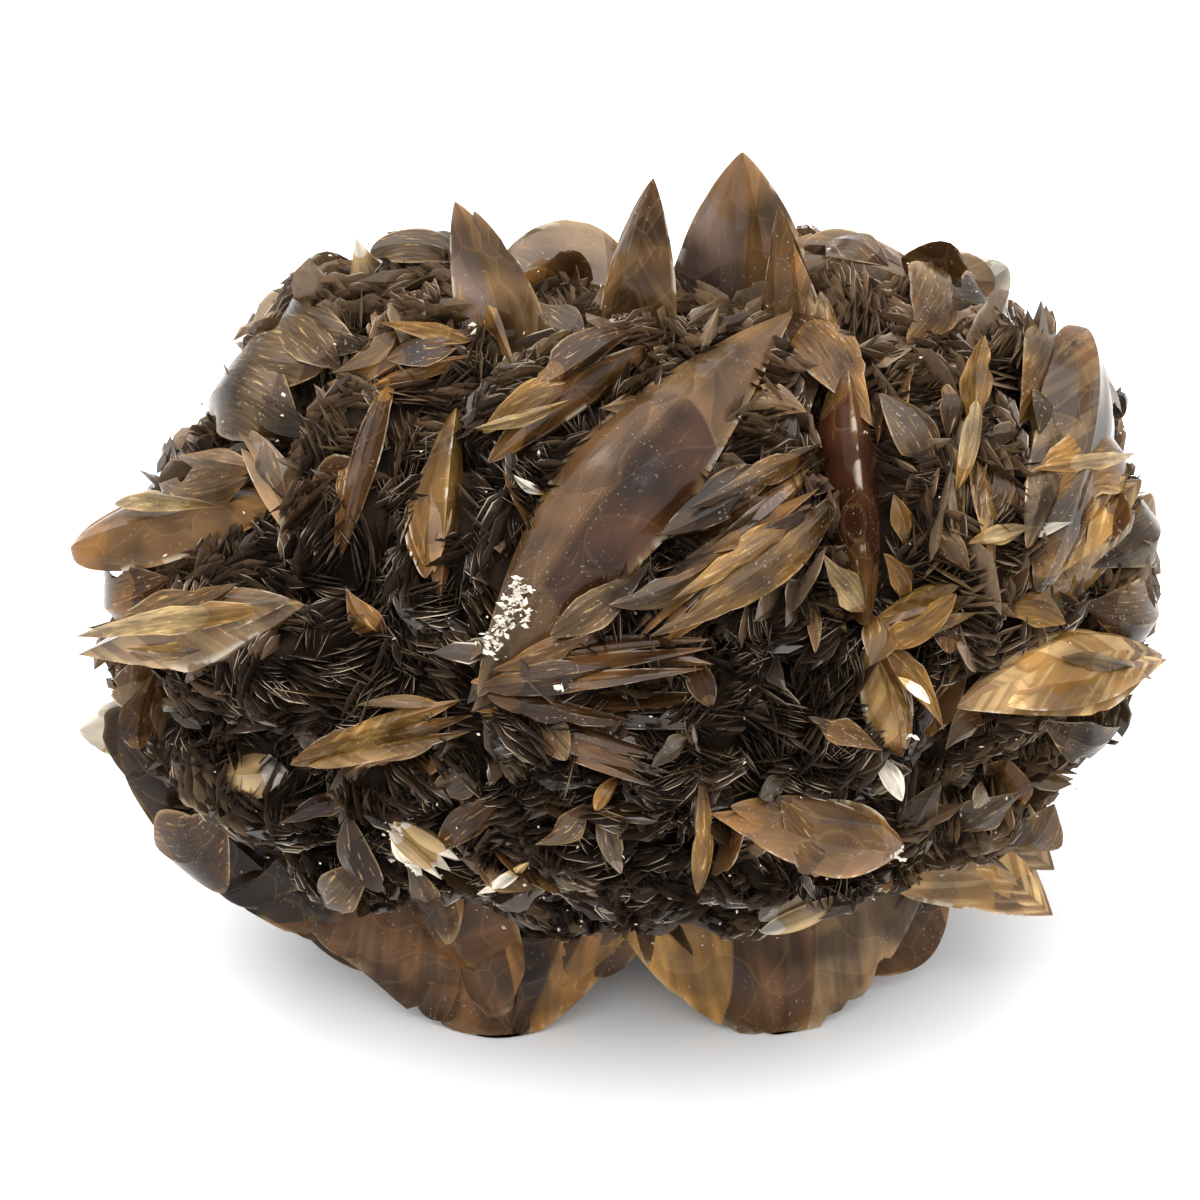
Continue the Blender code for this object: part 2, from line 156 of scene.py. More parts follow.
LARGE_BLADES = (
    # Along the top, from left to right
    Blade("top_splinter", (-32, 9, 43.3), (-29, 6, 33), 5, 1.6, FRONT, 0.6),
    Blade("top_left_spear", (-19.9, 3, 50.2), (-9.5, -9, 26), 9.5, 6.5, FRONT, 0.45, -0.3),
    Blade("top_dome", (-16, 13, 37), (1, 11, 35.5), 15, 4, FRONT, 0.5, 0.0, 0.0, 0.55),
    Blade("top_middle_spear", (2.6, -3, 55.4), (-1, -5, 20), 10.5, 5.5, LEFT_FRONT, 0.5, 0.25),
    Blade("top_pyramid", (12.8, 7, 54.6), (13.5, 12, 18), 17, 11, FRONT, 0.5, -0.35, 0.0, 0.75),
    Blade("top_right_spear", (16.8, 1, 50.5), (20.5, -4, 26), 7.5, 5, LEFT_FRONT, 0.5, 0.3),
    Blade("top_right_plate", (21, -3, 43), (22, -8, 30), 6, 3.5, LEFT_FRONT, 0.5, 0.2),
    Blade("top_back_plate", (18, 16, 38), (38, 20, 30), 12, 4, UP_FRONT, 0.5, 0.0, 1.0, 0.6),
    Blade("top_right_nub", (45.5, 17, 36), (34, 16, 27), 8, 4, FRONT, 0.4),
    # The large blade across the front and those round it
    Blade("front_great_lens", (-16.2, -42.5, 12.2), (18.5, -4.5, 40.0), 14.5, 8, UP_FRONT, 0.45, -0.1, 6.5),
    Blade("front_crescent", (-15.5, -23.5, 30.5), (3.5, -11.5, 39.5), 9.5, 5, UP_FRONT, 0.45, 0.3, 2.0),
    Blade("front_arch", (-31, -9.5, 32.5), (-15.5, -6, 37), 7.5, 4.5, UP_FRONT, 0.6, 0.2, 2.5),
    Blade("front_left_strap", (-26.5, -9, 34.5), (-31.8, -27, 20.5), 6.5, 3, UP_FRONT, 0.5, 0.0, 2.5),
    Blade("front_gold_needle", (-19.3, -15, 33), (-20.5, -34, 18.5), 7, 3, RIGHT, 0.45, 0.0, 0.0),
    Blade("front_pale_scale", (-22, -19, 29), (-22.2, -31.5, 20.5), 8.5, 3, LEFT_FRONT, 0.5, -0.4),
    Blade("front_gold_spar", (20.5, -29, 30), (0.5, -41, 17.5), 6.5, 4, UP_FRONT, 0.5, 0.3, 1.5),
    Blade("front_brown_spar", (20, -25, 31), (4, -34.5, 24.5), 7, 4, UP_FRONT, 0.5, -0.2, 1.5),
    Blade("front_red_keel", (24, -13, 37.5), (25.5, -35, 16.5), 15, 5, RIGHT, 0.5, 0.0, 0.0, 0.6),
    Blade("front_fan_upper", (-17, -40.5, 12.5), (9, -41, 17), 6.5, 3.5, UP_FRONT, 0.5, 0.3, 2.5),
    Blade("front_fan_middle", (-16.5, -40.5, 9), (9, -41.5, 11), 6.5, 5, FRONT, 0.5, -0.3, 1.0),
    Blade("front_fan_lower", (-14, -41, 8.5), (5, -44.5, 4), 7, 3.5, FRONT, 0.5, 0.2, 1.0),
    Blade("front_twin_left", (18, -31.5, 22.5), (23.5, -32.5, 14.5), 5.5, 5, RIGHT_FRONT, 0.5, 0.4),
    Blade("front_gold_facet", (26, -34, 14.5), (30, -37, 1), 8.5, 5, RIGHT_FRONT, 0.55, 0.4),
    Blade("front_gold_wing", (25.5, -32.5, 14), (38, -30.5, 17.5), 6, 4, RIGHT_FRONT, 0.5, 0.2),
    Blade("front_clear_scale", (8.5, -45, -1), (31, -36, -12), 11, 4.5, (0.35, -0.87, 0.33), 0.6, 0.1, 1.5),
    Blade("front_low_sliver", (14, -37.5, -22), (26, -34.5, -16.5), 5.5, 3.5, FRONT, 0.5, 0.3, 1.0),
    Blade("front_left_leaf", (-37, -36.5, 0), (-17, -38.5, 7.5), 7, 5, FRONT, 0.5, 0.3),
    Blade("front_cream_chip", (-27, -36.5, -8), (-20, -38, -13.5), 6, 4, FRONT, 0.5, -0.2),
    Blade("front_cream_sliver", (-47.5, -27.5, -7.5), (-38.5, -32.5, -4), 6, 5, FRONT),
    # The left side
    Blade("left_great_spear", (-63.4, -20, 3.9), (-35.6, -30.5, 16.6), 11, 9, UP_FRONT, 0.55, 0.15),
    Blade("left_blunt_spear", (-65.2, -9, 11.5), (-38, -15, 22), 10, 6, UP_FRONT, 0.4, 0.1, 0.0, 0.6),
    Blade("left_cream_nub", (-66.0, -12, -11.5), (-48, -10, -13), 9, 5, UP_FRONT, 0.5, 0.0, 0.0, 0.6),
    Blade("left_upper_keel", (-45, -8, 27), (-33, -22, 17), 9, 4, UP_FRONT, 0.5, 0.3, 2.0),
    # The right side
    Blade("right_great_spear", (61.4, -19, 3.2), (36, -34, 5.5), 12, 8, UP_FRONT, 0.5, 0.35, 2.0),
    Blade("right_great_wing", (53, 6, 33), (45, -27, 16), 19, 8, RIGHT_FRONT, 0.4, 0.1, 2.0, 0.65),
    Blade("right_low_wing", (59, -10, 21), (38, -27, 13), 13, 6, RIGHT_FRONT, 0.5, 0.2, 0.0),
    Blade("right_back_wing", (63, 4, 12), (46, -14, -4), 14, 5, RIGHT_FRONT, 0.5, 0.1, 0.0, 0.65),
    Blade("right_low_spear", (51.8, -17, -35.2), (24, -15, -14), 17, 6, FRONT, 0.5, 0.1, 0.0, 0.75),
    Blade("right_inner_leaf", (37, -16.5, 30), (38, -28.5, 19.5), 6, 4, FRONT, 0.5, 0.2, 0.5),
    # The blades that carry it at the front
    Blade("left_foot", (-57, -12, -27), (2, -17, -32), 41, 9, FRONT, 0.7, 0.0, 0.0, 0.75),
    Blade("left_foot_outer", (-60.5, -15, -9), (-34, -17, -39), 19, 5, FRONT, 0.5, 0.1, 0.0, 0.6),
    Blade("left_foot_inner", (-26, -20, -20), (-15, -23, -42), 17, 6, LEFT_FRONT, 0.55, 0.2, 0.0, 0.6),
    Blade("right_foot", (-1.5, -19, -34.5), (37, -13, -30), 37, 9, FRONT, 0.48, 0.0, 0.0, 0.75),
    Blade("right_foot_outer", (21, -20, -44), (40, -9, -25), 16, 6, RIGHT_FRONT, 0.5, 0.1, 0.0, 0.65),
)


# The smaller blades that the front shows, by finish, each row in the order of the fields: the pixels of its
# tip and of its root, its width in mm, the lift in mm of its tip and of its root above the ball, and its turn
# about its own length in radians
Leaf = namedtuple("Leaf", "tip root width lift foot tilt", defaults=(3.2, 1.6, 0.0))
LEAVES = {
    "smoky": (
        ((296, 308), (372, 345), 10, 1.6, 1.0), ((262, 364), (335, 366), 8),
        ((218, 408), (300, 430), 13, 2.0, 1.0), ((383, 268), (470, 262), 7), ((300, 330), (345, 372), 6),
        ((282, 450), (288, 500), 3.4), ((682, 346), (756, 318), 6, 3.6), ((535, 318), (585, 340), 7),
        ((786, 420), (782, 458), 3), ((905, 300), (985, 300), 8), ((1134, 506), (1080, 570), 9, 1.4),
        ((1142, 582), (1076, 604), 8, 1.4), ((866, 404), (930, 474), 6, 3.0), ((1020, 440), (1046, 400), 5),
        ((332, 892), (374, 856), 5), ((440, 775), (480, 760), 4), ((562, 630), (648, 566), 4.2, 7.0, 5.0),
        ((542, 824), (588, 792), 4, 4.2, 3.4), ((1010, 780), (960, 830), 6), ((900, 830), (940, 780), 5),
        ((1100, 720), (1040, 720), 6),
    ),
    "tan": (
        ((170, 486), (250, 478), 8, 2.0), ((196, 462), (262, 470), 4), ((330, 395), (338, 440), 4),
        ((366, 500), (376, 460), 3.4), ((600, 425), (648, 408), 3.4, 4.0), ((792, 428), (732, 408), 4, 4.2),
        ((932, 270), (906, 344), 9, 2.0), ((1034, 322), (1018, 424), 9, 2.2, 1.5),
        ((946, 574), (926, 528), 3.6, 4.0), ((150, 624), (262, 584), 4.6, 8.0, 4.4),
        ((262, 674), (304, 686), 1.8, 4.0), ((380, 696), (452, 700), 1.8, 4.4, 3.4),
        ((394, 748), (456, 716), 4, 4.2, 3.2), ((346, 780), (404, 748), 3), ((152, 780), (176, 800), 5, 2.0),
        ((440, 884), (408, 858), 3.4, 3.6), ((572, 746), (528, 696), 4.2, 4.2, 4.0),
        ((612, 604), (704, 566), 3.6, 7.2, 5.0), ((799, 648), (804, 586), 1.8, 4.4),
        ((928, 742), (980, 716), 3.4), ((1046, 800), (994, 846), 8, 1.8),
    ),
    "mauve": (
        ((250, 376), (352, 444), 6, 4.5, 3.0, 0.5), ((822, 258), (888, 268), 7),
        ((214, 678), (232, 650), 2.4, 4.2), ((622, 852), (604, 802), 3.4, 4.0),
    ),
    "grey": (
        ((398, 250), (478, 248), 5), ((548, 372), (598, 398), 5), ((650, 754), (694, 732), 2.6, 4.0),
        ((752, 784), (786, 776), 3, 3.6), ((954, 796), (980, 780), 2.2, 3.6),
    ),
    "gold": (
        ((352, 392), (412, 346), 4, 4.5, 4.0, 0.3), ((402, 348), (482, 358), 3, 5.0, 4.0),
        ((478, 222), (524, 388), 4.2, 5.0, 2.5, 0.3), ((499, 451), (582, 404), 5.4, 5.0, 5.0),
        ((962, 352), (966, 444), 4, 4.0, 3.0, 0.6), ((1100, 464), (1000, 516), 9, 3.6, 3.2),
        ((878, 500), (904, 546), 3.4), ((835, 360), (846, 420), 4, 4.0, 3.0, 0.5),
        ((178, 642), (246, 644), 2.6, 7.0, 5.6), ((646, 630), (832, 492), 5.0, 8.2, 4.4, 0.3),
        ((664, 600), (792, 522), 3.6, 8.6, 5.0), ((598, 792), (620, 774), 1.8, 4.2),
        ((692, 868), (696, 756), 2.6, 4.4, 3.4, 0.4), ((926, 594), (858, 642), 3.8, 5.0, 4.0),
        ((914, 718), (866, 640), 3.6, 5.2, 4.2, 0.4), ((846, 660), (868, 612), 4, 5.0),
        ((1042, 622), (996, 608), 4, 3.6),
    ),
    "brown": (
        ((405, 378), (470, 352), 5, 4.0, 3.0, -0.4), ((300, 540), (340, 470), 4),
        ((548, 412), (640, 350), 4.6, 5.5, 4.5, 0.3), ((930, 395), (946, 440), 3.4),
        ((848, 440), (842, 398), 3.6), ((156, 846), (226, 818), 11, 1.6),
        ((508, 672), (662, 650), 4.4, 8.0, 3.6), ((510, 680), (634, 716), 3.4, 7.6, 3.4),
        ((656, 545), (770, 468), 5.2, 7.4, 4.4, -0.3), ((700, 560), (820, 506), 3.2, 7.0, 4.2, 0.5),
        ((600, 800), (690, 800), 4, 3.2), ((448, 842), (500, 800), 4.2), ((706, 700), (694, 660), 3),
        ((930, 650), (960, 600), 4),
    ),
    "red": (
        ((360, 458), (398, 402), 5, 3.6), ((1124, 416), (1088, 400), 5, 3.0, 3.0),
        ((298, 812), (354, 798), 3, 3.6), ((398, 872), (350, 814), 5, 3.8),
    ),
    "honey": (
        ((360, 552), (362, 452), 3, 4.5, 3.5, 0.6), ((842, 446), (776, 330), 7, 6.0, 4.0, -0.4),
        ((868, 556), (906, 606), 4), ((985, 470), (1000, 530), 6, 2.4), ((114, 590), (172, 578), 7, 2.4),
        ((362, 586), (388, 636), 3), ((316, 752), (412, 714), 4.4, 4.4, 3.4),
        ((516, 658), (616, 622), 3.2, 8.2, 4.4), ((678, 524), (806, 456), 3.2, 8.0, 4.6),
        ((770, 786), (850, 838), 8, 3.6, 3.4), ((862, 738), (798, 710), 3.6, 4.4, 3.6),
    ),
    "straw": (
        ((497, 453), (580, 424), 1.8, 6.6, 6.4), ((1092, 366), (1034, 362), 6, 1.8),
        ((1100, 463), (1004, 478), 2.2, 5.2, 5.0), ((949, 416), (942, 496), 2.6, 4.6, 3.4, 0.5),
        ((1002, 532), (952, 546), 2.6, 4.4, 3.6), ((142, 632), (302, 606), 3.4, 8.5, 5.6),
        ((160, 512), (244, 512), 3, 6.0, 4.0), ((802, 558), (854, 614), 4.8, 5.2, 4.2),
        ((1104, 672), (1026, 652), 2.8, 6.4, 5.6),
    ),
    # Cream leaves: pale slivers, the thin one from (892, 690) a painted glint along a gold blade
    "cream": (
        ((524, 486), (554, 500), 1.3, 4.2, 3.6), ((1042, 527), (1000, 541), 1.6, 4.6, 4.0),
        ((440, 852), (408, 806), 2.8, 4.4, 3.6, 0.4), ((488, 872), (534, 850), 1.8, 3.8, 3.2),
        ((892, 690), (868, 668), 1.4, 6.6, 6.4), ((882, 786), (868, 748), 2, 4.0),
        ((1064, 690), (1000, 690), 2.0, 5.6, 5.0),
    ),
    "orange": (
        ((1123, 417), (1030, 412), 11, 2.6, 2.6),
    ),
}
LEAF_SINK = 0.7

# Clusters of white crumbs where the crystal is broken, a few small ones partly painted glints: a pixel, the
# spread and the lift in mm, and how many
Crumbs = namedtuple("Crumbs", "pixel spread count lift")
BROKEN_EDGES_AND_GLINTS = (
    Crumbs((534, 590), 1.2, 34, 5.6), Crumbs((528, 604), 1.3, 40, 5.8), Crumbs((520, 620), 1.4, 44, 6.0),
    Crumbs((512, 638), 1.2, 34, 6.2), Crumbs((544, 612), 1.0, 14, 6.6), Crumbs((416, 814), 1.5, 22, 3.0),
    Crumbs((432, 838), 1.8, 60, 3.2), Crumbs((566, 678), 0.8, 4, 6.0), Crumbs((838, 452), 0.5, 2, 5.0),
    Crumbs((876, 718), 0.9, 5, 6.0), Crumbs((868, 826), 1.4, 10, 5.0), Crumbs((852, 858), 1.0, 6, 4.4),
    Crumbs((484, 358), 0.6, 3, 4.4),
)
# Bright flecks over the whole ball: partly dust, partly painted glints
FLECKS = 700


# The ball's form


def ball_radii(directions):
    """The reach of the ball along each unit vector, with the creases between its lobes rounded."""
    reaches = []
    for lobe in LOBES:
        radii = np.array(lobe.radii, float)
        ray = directions / radii
        start = -np.array(lobe.centre, float) / radii
        a, b, c = (ray**2).sum(1), ray @ start, start @ start - 1
        inside_root = b * b - a * c
        reaches.append(np.where(inside_root > 0, (np.sqrt(np.maximum(inside_root, 0)) - b) / a, 0))
    reaches = np.array(reaches)
    most = reaches.max(0)
    return most + np.log(np.exp(ROUNDING_PER_MM * (reaches - most)).sum(0)) / ROUNDING_PER_MM


def surface_point(direction):
    return direction * float(ball_radii(np.array([direction]))[0])


def surface_normal(direction):
    """The outward normal, from two short steps across the surface."""
    across = direction.orthogonal().normalized()
    along = direction.cross(across)
    step = 0.02
    ends = [
        surface_point((direction + step * way).normalized())
        for way in (across, -across, along, -along)
    ]
    normal = (ends[0] - ends[1]).cross(ends[2] - ends[3])
    return normal.normalized() * math.copysign(1.0, normal.dot(direction))


def on_front(pixel, lift=0.0):
    """The point of the ball that a pixel of the photograph shows, raised above it by some millimetres."""
    across = (pixel[0] - MIDDLE_PIXEL[0]) / PIXELS_PER_MM
    up = (MIDDLE_PIXEL[1] - pixel[1]) / PIXELS_PER_MM
    nearer = np.arange(60.0, -40.0, -0.5)[:, None]
    flat = np.array(Vector((across, 0, 0)) + PICTURE_UP * up)
    ray = flat * (1 - nearer / CAMERA_DISTANCE) + nearer * np.array(TO_CAMERA)
    reach = np.linalg.norm(ray, axis=1)
    share = reach / ball_radii(ray / reach[:, None])
    hits = np.nonzero(share < 1)[0]
    if len(hits) == 0:
        return Vector(ray[share.argmin()])
    point = Vector(ray[hits[0]])
    return point + point.normalized() * lift


def leaf_blade(leaf):
    """A leaf as a blade on the ball, bowed so that it stays above the ball between its ends."""
    tip, root = on_front(leaf.tip, leaf.lift - LEAF_SINK), on_front(leaf.root, leaf.foot - 2 * LEAF_SINK)
    middle = (tip + root) / 2
    facing = (middle.normalized() + TO_CAMERA).normalized()
    halfway = [(a + b) / 2 for a, b in zip(leaf.tip, leaf.root)]
    bulge = (on_front(halfway, (leaf.lift + leaf.foot) / 2 - LEAF_SINK) - middle).dot(facing)
    rng = random.Random(leaf.tip[0] + leaf.root[1])
    turn = leaf.tilt + rng.uniform(-0.25, 0.25)
    facing = Matrix.Rotation(turn, 3, (root - tip).normalized()) @ facing
    thick = 1.1 + 0.2 * leaf.width
    widest, ridge = rng.uniform(0.35, 0.65), rng.uniform(-0.6, 0.6)
    bulge, blunt = min(max(bulge, 0.0), 5.0), rng.uniform(0.6, 1.0)
    return Blade("leaf", tip, root, leaf.width, thick, facing, widest, ridge, bulge, blunt, 0.8)


def leaves_by_finish():
    return {finish: [leaf_blade(Leaf(*row)) for row in rows] for finish, rows in LEAVES.items()}


def spread_directions(count, rng, jitter):
    """Unit vectors spread evenly over a sphere, each moved a little."""
    golden_angle = math.pi * (3 - math.sqrt(5))
    for i in range(count):
        height = 1 - (2 * i + 1) / count
        ring = math.sqrt(1 - height * height)
        turn = golden_angle * i
        even = Vector((ring * math.cos(turn), ring * math.sin(turn), height))
        yield (even + Vector(rng.uniform(-jitter, jitter) for _ in range(3))).normalized()


def random_tangent(normal, rng):
    return Matrix.Rotation(rng.uniform(0, 2 * math.pi), 3, normal) @ normal.orthogonal().normalized()


def rosette(direction, rng):
    """The blades of one fan."""
    normal = surface_normal(direction)
    hinge = random_tangent(normal, rng)
    foot = surface_point(direction) - normal * FAN_DEPTH
    for i in range(FAN_BLADES):
        splay = (i - (FAN_BLADES - 1) / 2) * FAN_SPLAY
        splay += rng.uniform(-FAN_SPLAY_JITTER, FAN_SPLAY_JITTER)
        out = Matrix.Rotation(splay, 3, hinge) @ normal
        lean = rng.uniform(-FAN_LEAN, FAN_LEAN)
        axis = hinge * math.cos(lean) + out * math.sin(lean)
        length = rng.uniform(*FAN_LENGTH)
        width = length * FAN_WIDTH * rng.uniform(0.8, 1.2)
        thick = length * FAN_THICKNESS * rng.uniform(0.8, 1.3)
        middle = foot + out * (rng.uniform(*FAN_REACH) - width / 2)
        tip, root = middle + axis * length / 2, middle - axis * length / 2
        yield Blade("fan", tip, root, width, thick, out.cross(hinge), rng.uniform(0.35, 0.65), keel=0.0)


def side_blade(direction, rng):
    """A large blade that leans out of the ball at a slant, its root under the surface."""
    normal = surface_normal(direction)
    axis = (normal * rng.uniform(*SIDE_RISE) + random_tangent(normal, rng)).normalized()
    length = rng.uniform(*SIDE_LENGTH)
    tip = surface_point(direction) + axis * length * (1 - SIDE_SINK) - normal * length * SIDE_BURIED
    facing = random_tangent(axis, rng)
    width = length * SIDE_WIDTH * rng.uniform(0.75, 1.2)
    thick = length * SIDE_THICKNESS * rng.uniform(0.8, 1.3)
    ridge = rng.uniform(-0.3, 0.3)
    root = tip - axis * length
    return Blade("side", tip, root, width, thick, facing, 0.5, ridge, 0.0, rng.uniform(0.65, 0.9))


def side_blades():
    rng = random.Random(SIDE_SEED)
    for direction in spread_directions(SIDE_BLADES, rng, ROSETTE_JITTER):
        blade = side_blade(direction, rng)
        if Vector(FRONT).dot(direction) <= -FRONT_CLEARANCE:
            yield blade


def rosette_blades():
    rng = random.Random(ROSETTE_SEED)
    for direction in spread_directions(ROSETTES, rng, ROSETTE_JITTER):
        yield from rosette(direction, rng)


# Meshes


def placed(points):
    """Points in millimetres from the middle of the ball, as metres in the scene, none under the floor."""
    moved = (np.asarray(points, float) + np.array(BODY_CENTRE)) * MM
    moved[:, 2] = np.maximum(moved[:, 2], LOWEST_LENS)
    return moved


def store(mesh, name, kind, values):
    """Writes one value, or one vector, per point of the mesh."""
    layer = mesh.attributes.new(name, kind, "POINT")
    field = "vector" if kind == "FLOAT_VECTOR" else "value"
    layer.data.foreach_set(field, np.asarray(values, np.float32).ravel())


def new_piece(name, mesh, material):
    piece = bpy.data.objects.new(name, mesh)
    bpy.context.scene.collection.objects.link(piece)
    mesh.materials.clear()
    mesh.materials.append(material)
    return piece


def belongs(piece):
    """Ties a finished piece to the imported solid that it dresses."""
    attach(piece, "root")
    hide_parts(NODE)


def turned_outwards(points, faces):
    """The faces of a closed shell, all reversed if they point inwards."""
    fans = np.array([(face[0], face[i], face[i + 1]) for face in faces for i in range(1, len(face) - 1)])
    first, second, third = (points[fans[:, i]] for i in range(3))
    volume = (first * np.cross(second, third)).sum()
    return faces if volume > 0 else [face[::-1] for face in faces]


class Shells:
    """Closed lenses collected into one mesh, with where each point lies on its own lens."""

    def __init__(self):
        self.points, self.faces, self.growth, self.place, self.shade = [], [], [], [], []
        self.count = 0

    def add(self, points, faces, growth, place, shade):
        self.points.append(points)
        outwards = turned_outwards(points - points.mean(0), faces)
        self.faces.extend([tuple(i + self.count for i in face) for face in outwards])
        self.growth.append(growth)
        self.place.append(place)
        self.shade.append(np.full(len(points), shade))
        self.count += len(points)

    def mesh(self, name):
        mesh = bpy.data.meshes.new(name)
        mesh.from_pydata(placed(np.concatenate(self.points)).tolist(), [], self.faces)
        store(mesh, "growth", "FLOAT_VECTOR", np.concatenate(self.growth))
        store(mesh, "place", "FLOAT_VECTOR", np.concatenate(self.place))
        store(mesh, "shade", "FLOAT", np.concatenate(self.shade))
        mesh.shade_smooth()
        mesh.set_sharp_from_angle(angle=math.radians(24))
        return mesh


def bias_for(widest):
    """The power that puts a lens's widest place at a share of its length."""
    return math.log(0.5) / math.log(widest)


def array_axes(blade):
    """A blade's ends, its length, and the unit vectors along it, out of its broad face and across it."""
    tip, root = np.array(blade.tip, float), np.array(blade.root, float)
    length = np.linalg.norm(root - tip)
    axis = (root - tip) / length
    facing = np.array(blade.facing, float)
    facing -= axis * facing.dot(axis)
    facing /= np.linalg.norm(facing)
    return tip, root, length, axis, facing, np.cross(axis, facing)


def vector_axes(blade):
    """The same as vectors."""
    tip, root = Vector(blade.tip), Vector(blade.root)
    axis = (root - tip).normalized()
    facing = Vector(blade.facing)
    facing = (facing - axis * facing.dot(axis)).normalized()
    return tip, root, (root - tip).length, axis, facing, axis.cross(facing)


# How a lens is shaped: its rings, a quarter of the points in each, and how strong each feature of it is
Form = namedtuple(
    "Form", "rings cols crown chips terrace ribs straight sickle",
    defaults=(0.3, 0.06, 0.0, 0.0, 0.0, 0.0),
)

# How far apart, in mm, the nicks, the waves, the terraces and the ribs of a lens are
NICK_WAVE = 3.6
RIM_WAVE = 8.0
TERRACE_WAVE = 7.0
TERRACE_LEVELS = 3
RIB_WAVE = 4.5


def lens_points(blade, form, rng):
    """A closed lens of a blade's form: rings of points between two ends, its faces crowned, stepped down
    in terraces from the ridge to the rim, ribbed across the grain, its rims chipped, its sides curved or
    straight, and the whole bent sideways like a sickle."""
    tip, root, length, _, facing, side = array_axes(blade)
    rings, cols = form.rings, form.cols
    bias = bias_for(blade.widest)
    drift = rng.uniform(0, 100)

    def wave(*place):
        return noise.noise(Vector(place))

    corners = ((1.0, 0.0), (blade.ridge, 1.0), (-1.0, 0.0), (blade.ridge, -1.0))
    points, growth, place = [tip], [(0, 0, 0)], [(0, 0, 0)]
    for i in range(rings):
        t = (1 - math.cos(math.pi * (i + 1) / (rings + 1))) / 2
        swell = math.sin(math.pi * t**bias) ** blade.blunt
        swell += form.straight * (1 - abs(2 * t**bias - 1) ** 1.2 - swell)
        bow = 4 * t * (1 - t)
        centre = tip + (root - tip) * t + facing * (blade.bulge * bow) + side * (form.sickle * bow)
        relief = min(1.0, swell * 1.5)
        for k in range(4 * cols):
            (s0, d0), (s1, d1) = corners[k // cols], corners[(k // cols + 1) % 4]
            f = (k % cols) / cols
            s, d = s0 + (s1 - s0) * f, d0 + (d1 - d0) * f
            way = math.copysign(1.0, d0 + d1)
            d += way * form.crown * 4 * f * (1 - f) * (1 - abs(d)) if f else 0.0
            nick = wave(t * length / NICK_WAVE, math.copysign(5.0, s), drift)
            nick = max(0.0, nick - 0.25) * abs(s) ** 3
            ripple = wave(t * length / RIM_WAVE, math.copysign(9.0, s), drift)
            wide = s * (1 - form.chips * 4 * nick + form.chips * ripple)
            deep = d * (blade.thick / 2 + (blade.keel if d < 0 else 0)) * swell
            if form.terrace and 0 < abs(d) < 1:
                shift = wave(t * length / TERRACE_WAVE, s * 1.5, drift + way)
                step = math.floor(abs(s - blade.ridge) * TERRACE_LEVELS + 1.3 * shift + 0.5)
                deep -= way * form.terrace * step * relief
            if form.ribs and 0 < abs(d):
                rib = wave(t * length / RIB_WAVE, s * 0.7, drift + 3 * way)
                deep += way * form.ribs * math.floor(rib * 4 + 0.5) / 2 * relief
            points.append(centre + side * (blade.width / 2 * swell * wide) + facing * deep)
            growth.append((t * length, s * blade.width / 2 * swell, deep))
            place.append((t, s, way * (abs(d) > 0)))
    points.append(root)
    growth.append((length, 0, 0))
    place.append((1, 0, 0))
    ring = 4 * cols
    faces = []
    for k in range(ring):
        j = (k + 1) % ring
        faces.append((0, 1 + j, 1 + k))
        faces.append((rings * ring + 1, 1 + (rings - 1) * ring + k, 1 + (rings - 1) * ring + j))
        for i in range(rings - 1):
            near, far = 1 + i * ring, 1 + (i + 1) * ring
            faces.append((near + k, near + j, far + j, far + k))
    return np.array(points), faces, np.array(growth), np.array(place)


def beside(blade, rng):
    """A thinner lens that grew against one face of a blade and almost along it."""
    tip, root, length, axis, facing, across = vector_axes(blade)
    lift = facing * blade.thick * rng.uniform(0.10, 0.24) + facing * blade.bulge * 0.8
    shift = across * blade.width * rng.uniform(-0.28, 0.28)
    new_tip = tip + axis * length * rng.uniform(0.04, 0.3) + shift + lift * 0.6
    new_root = root + axis * length * rng.uniform(-0.3, 0.02) + shift + lift
    new_root += across * length * rng.uniform(-0.12, 0.12) * 0.5
    width = blade.width * rng.uniform(0.45, 0.75)
    return blade._replace(
        tip=new_tip, root=new_root, width=width, thick=blade.thick * rng.uniform(0.35, 0.55),
        ridge=rng.uniform(-0.4, 0.4), bulge=blade.bulge * 0.3, keel=0.5, widest=rng.uniform(0.4, 0.6)
    )


def bundle(blade, count, rng):
    """The narrow lenses that a blade is made of where it grew as a bundle, side by side and tilted apart."""
    tip, root, length, axis, facing, across = vector_axes(blade)
    for i in range(count):
        place = (i + 0.5) / count - 0.5
        shift = across * blade.width * (place * 0.75 + rng.uniform(-0.06, 0.06))
        shift += facing * blade.thick * rng.uniform(-0.12, 0.2)
        fan = across * length * place * rng.uniform(0.05, 0.16)
        tilt = Matrix.Rotation(rng.uniform(-0.7, 0.7), 3, axis) @ facing
        trim = abs(place) * rng.uniform(0.1, 0.5)
        yield blade._replace(
            tip=tip + axis * length * trim * 0.8 + shift * 0.7,
            root=root - axis * length * trim * 0.4 + shift + fan,
            width=blade.width * rng.uniform(0.42, 0.62), thick=blade.thick * rng.uniform(0.4, 0.65),
            facing=tilt, ridge=rng.uniform(-0.4, 0.4), widest=rng.uniform(0.35, 0.6),
            keel=blade.keel * 0.5, blunt=0.9
        )


def straps(blade, count, rng):
    """The upright bars that a foot's plate is made of, side by side, whose round ends make its wavy rim."""
    tip, root, length, _, _, across = vector_axes(blade)
    bias = bias_for(blade.widest)
    for i in range(count):
        t = (i + 0.5 + rng.uniform(-0.2, 0.2)) / count
        swell = math.sin(math.pi * t**bias) ** blade.blunt
        reach = across * (blade.width / 2 * swell * rng.uniform(0.93, 0.99))
        centre = tip + (root - tip) * t
        yield blade._replace(
            tip=centre + reach, root=centre - reach, width=length / count * rng.uniform(1.1, 1.7),
            thick=blade.thick * swell * rng.uniform(0.7, 0.85), widest=0.5, blunt=rng.uniform(0.35, 0.5),
            ridge=rng.uniform(-0.4, 0.4), keel=0.0
        )


# The dark shell that the blades grow on


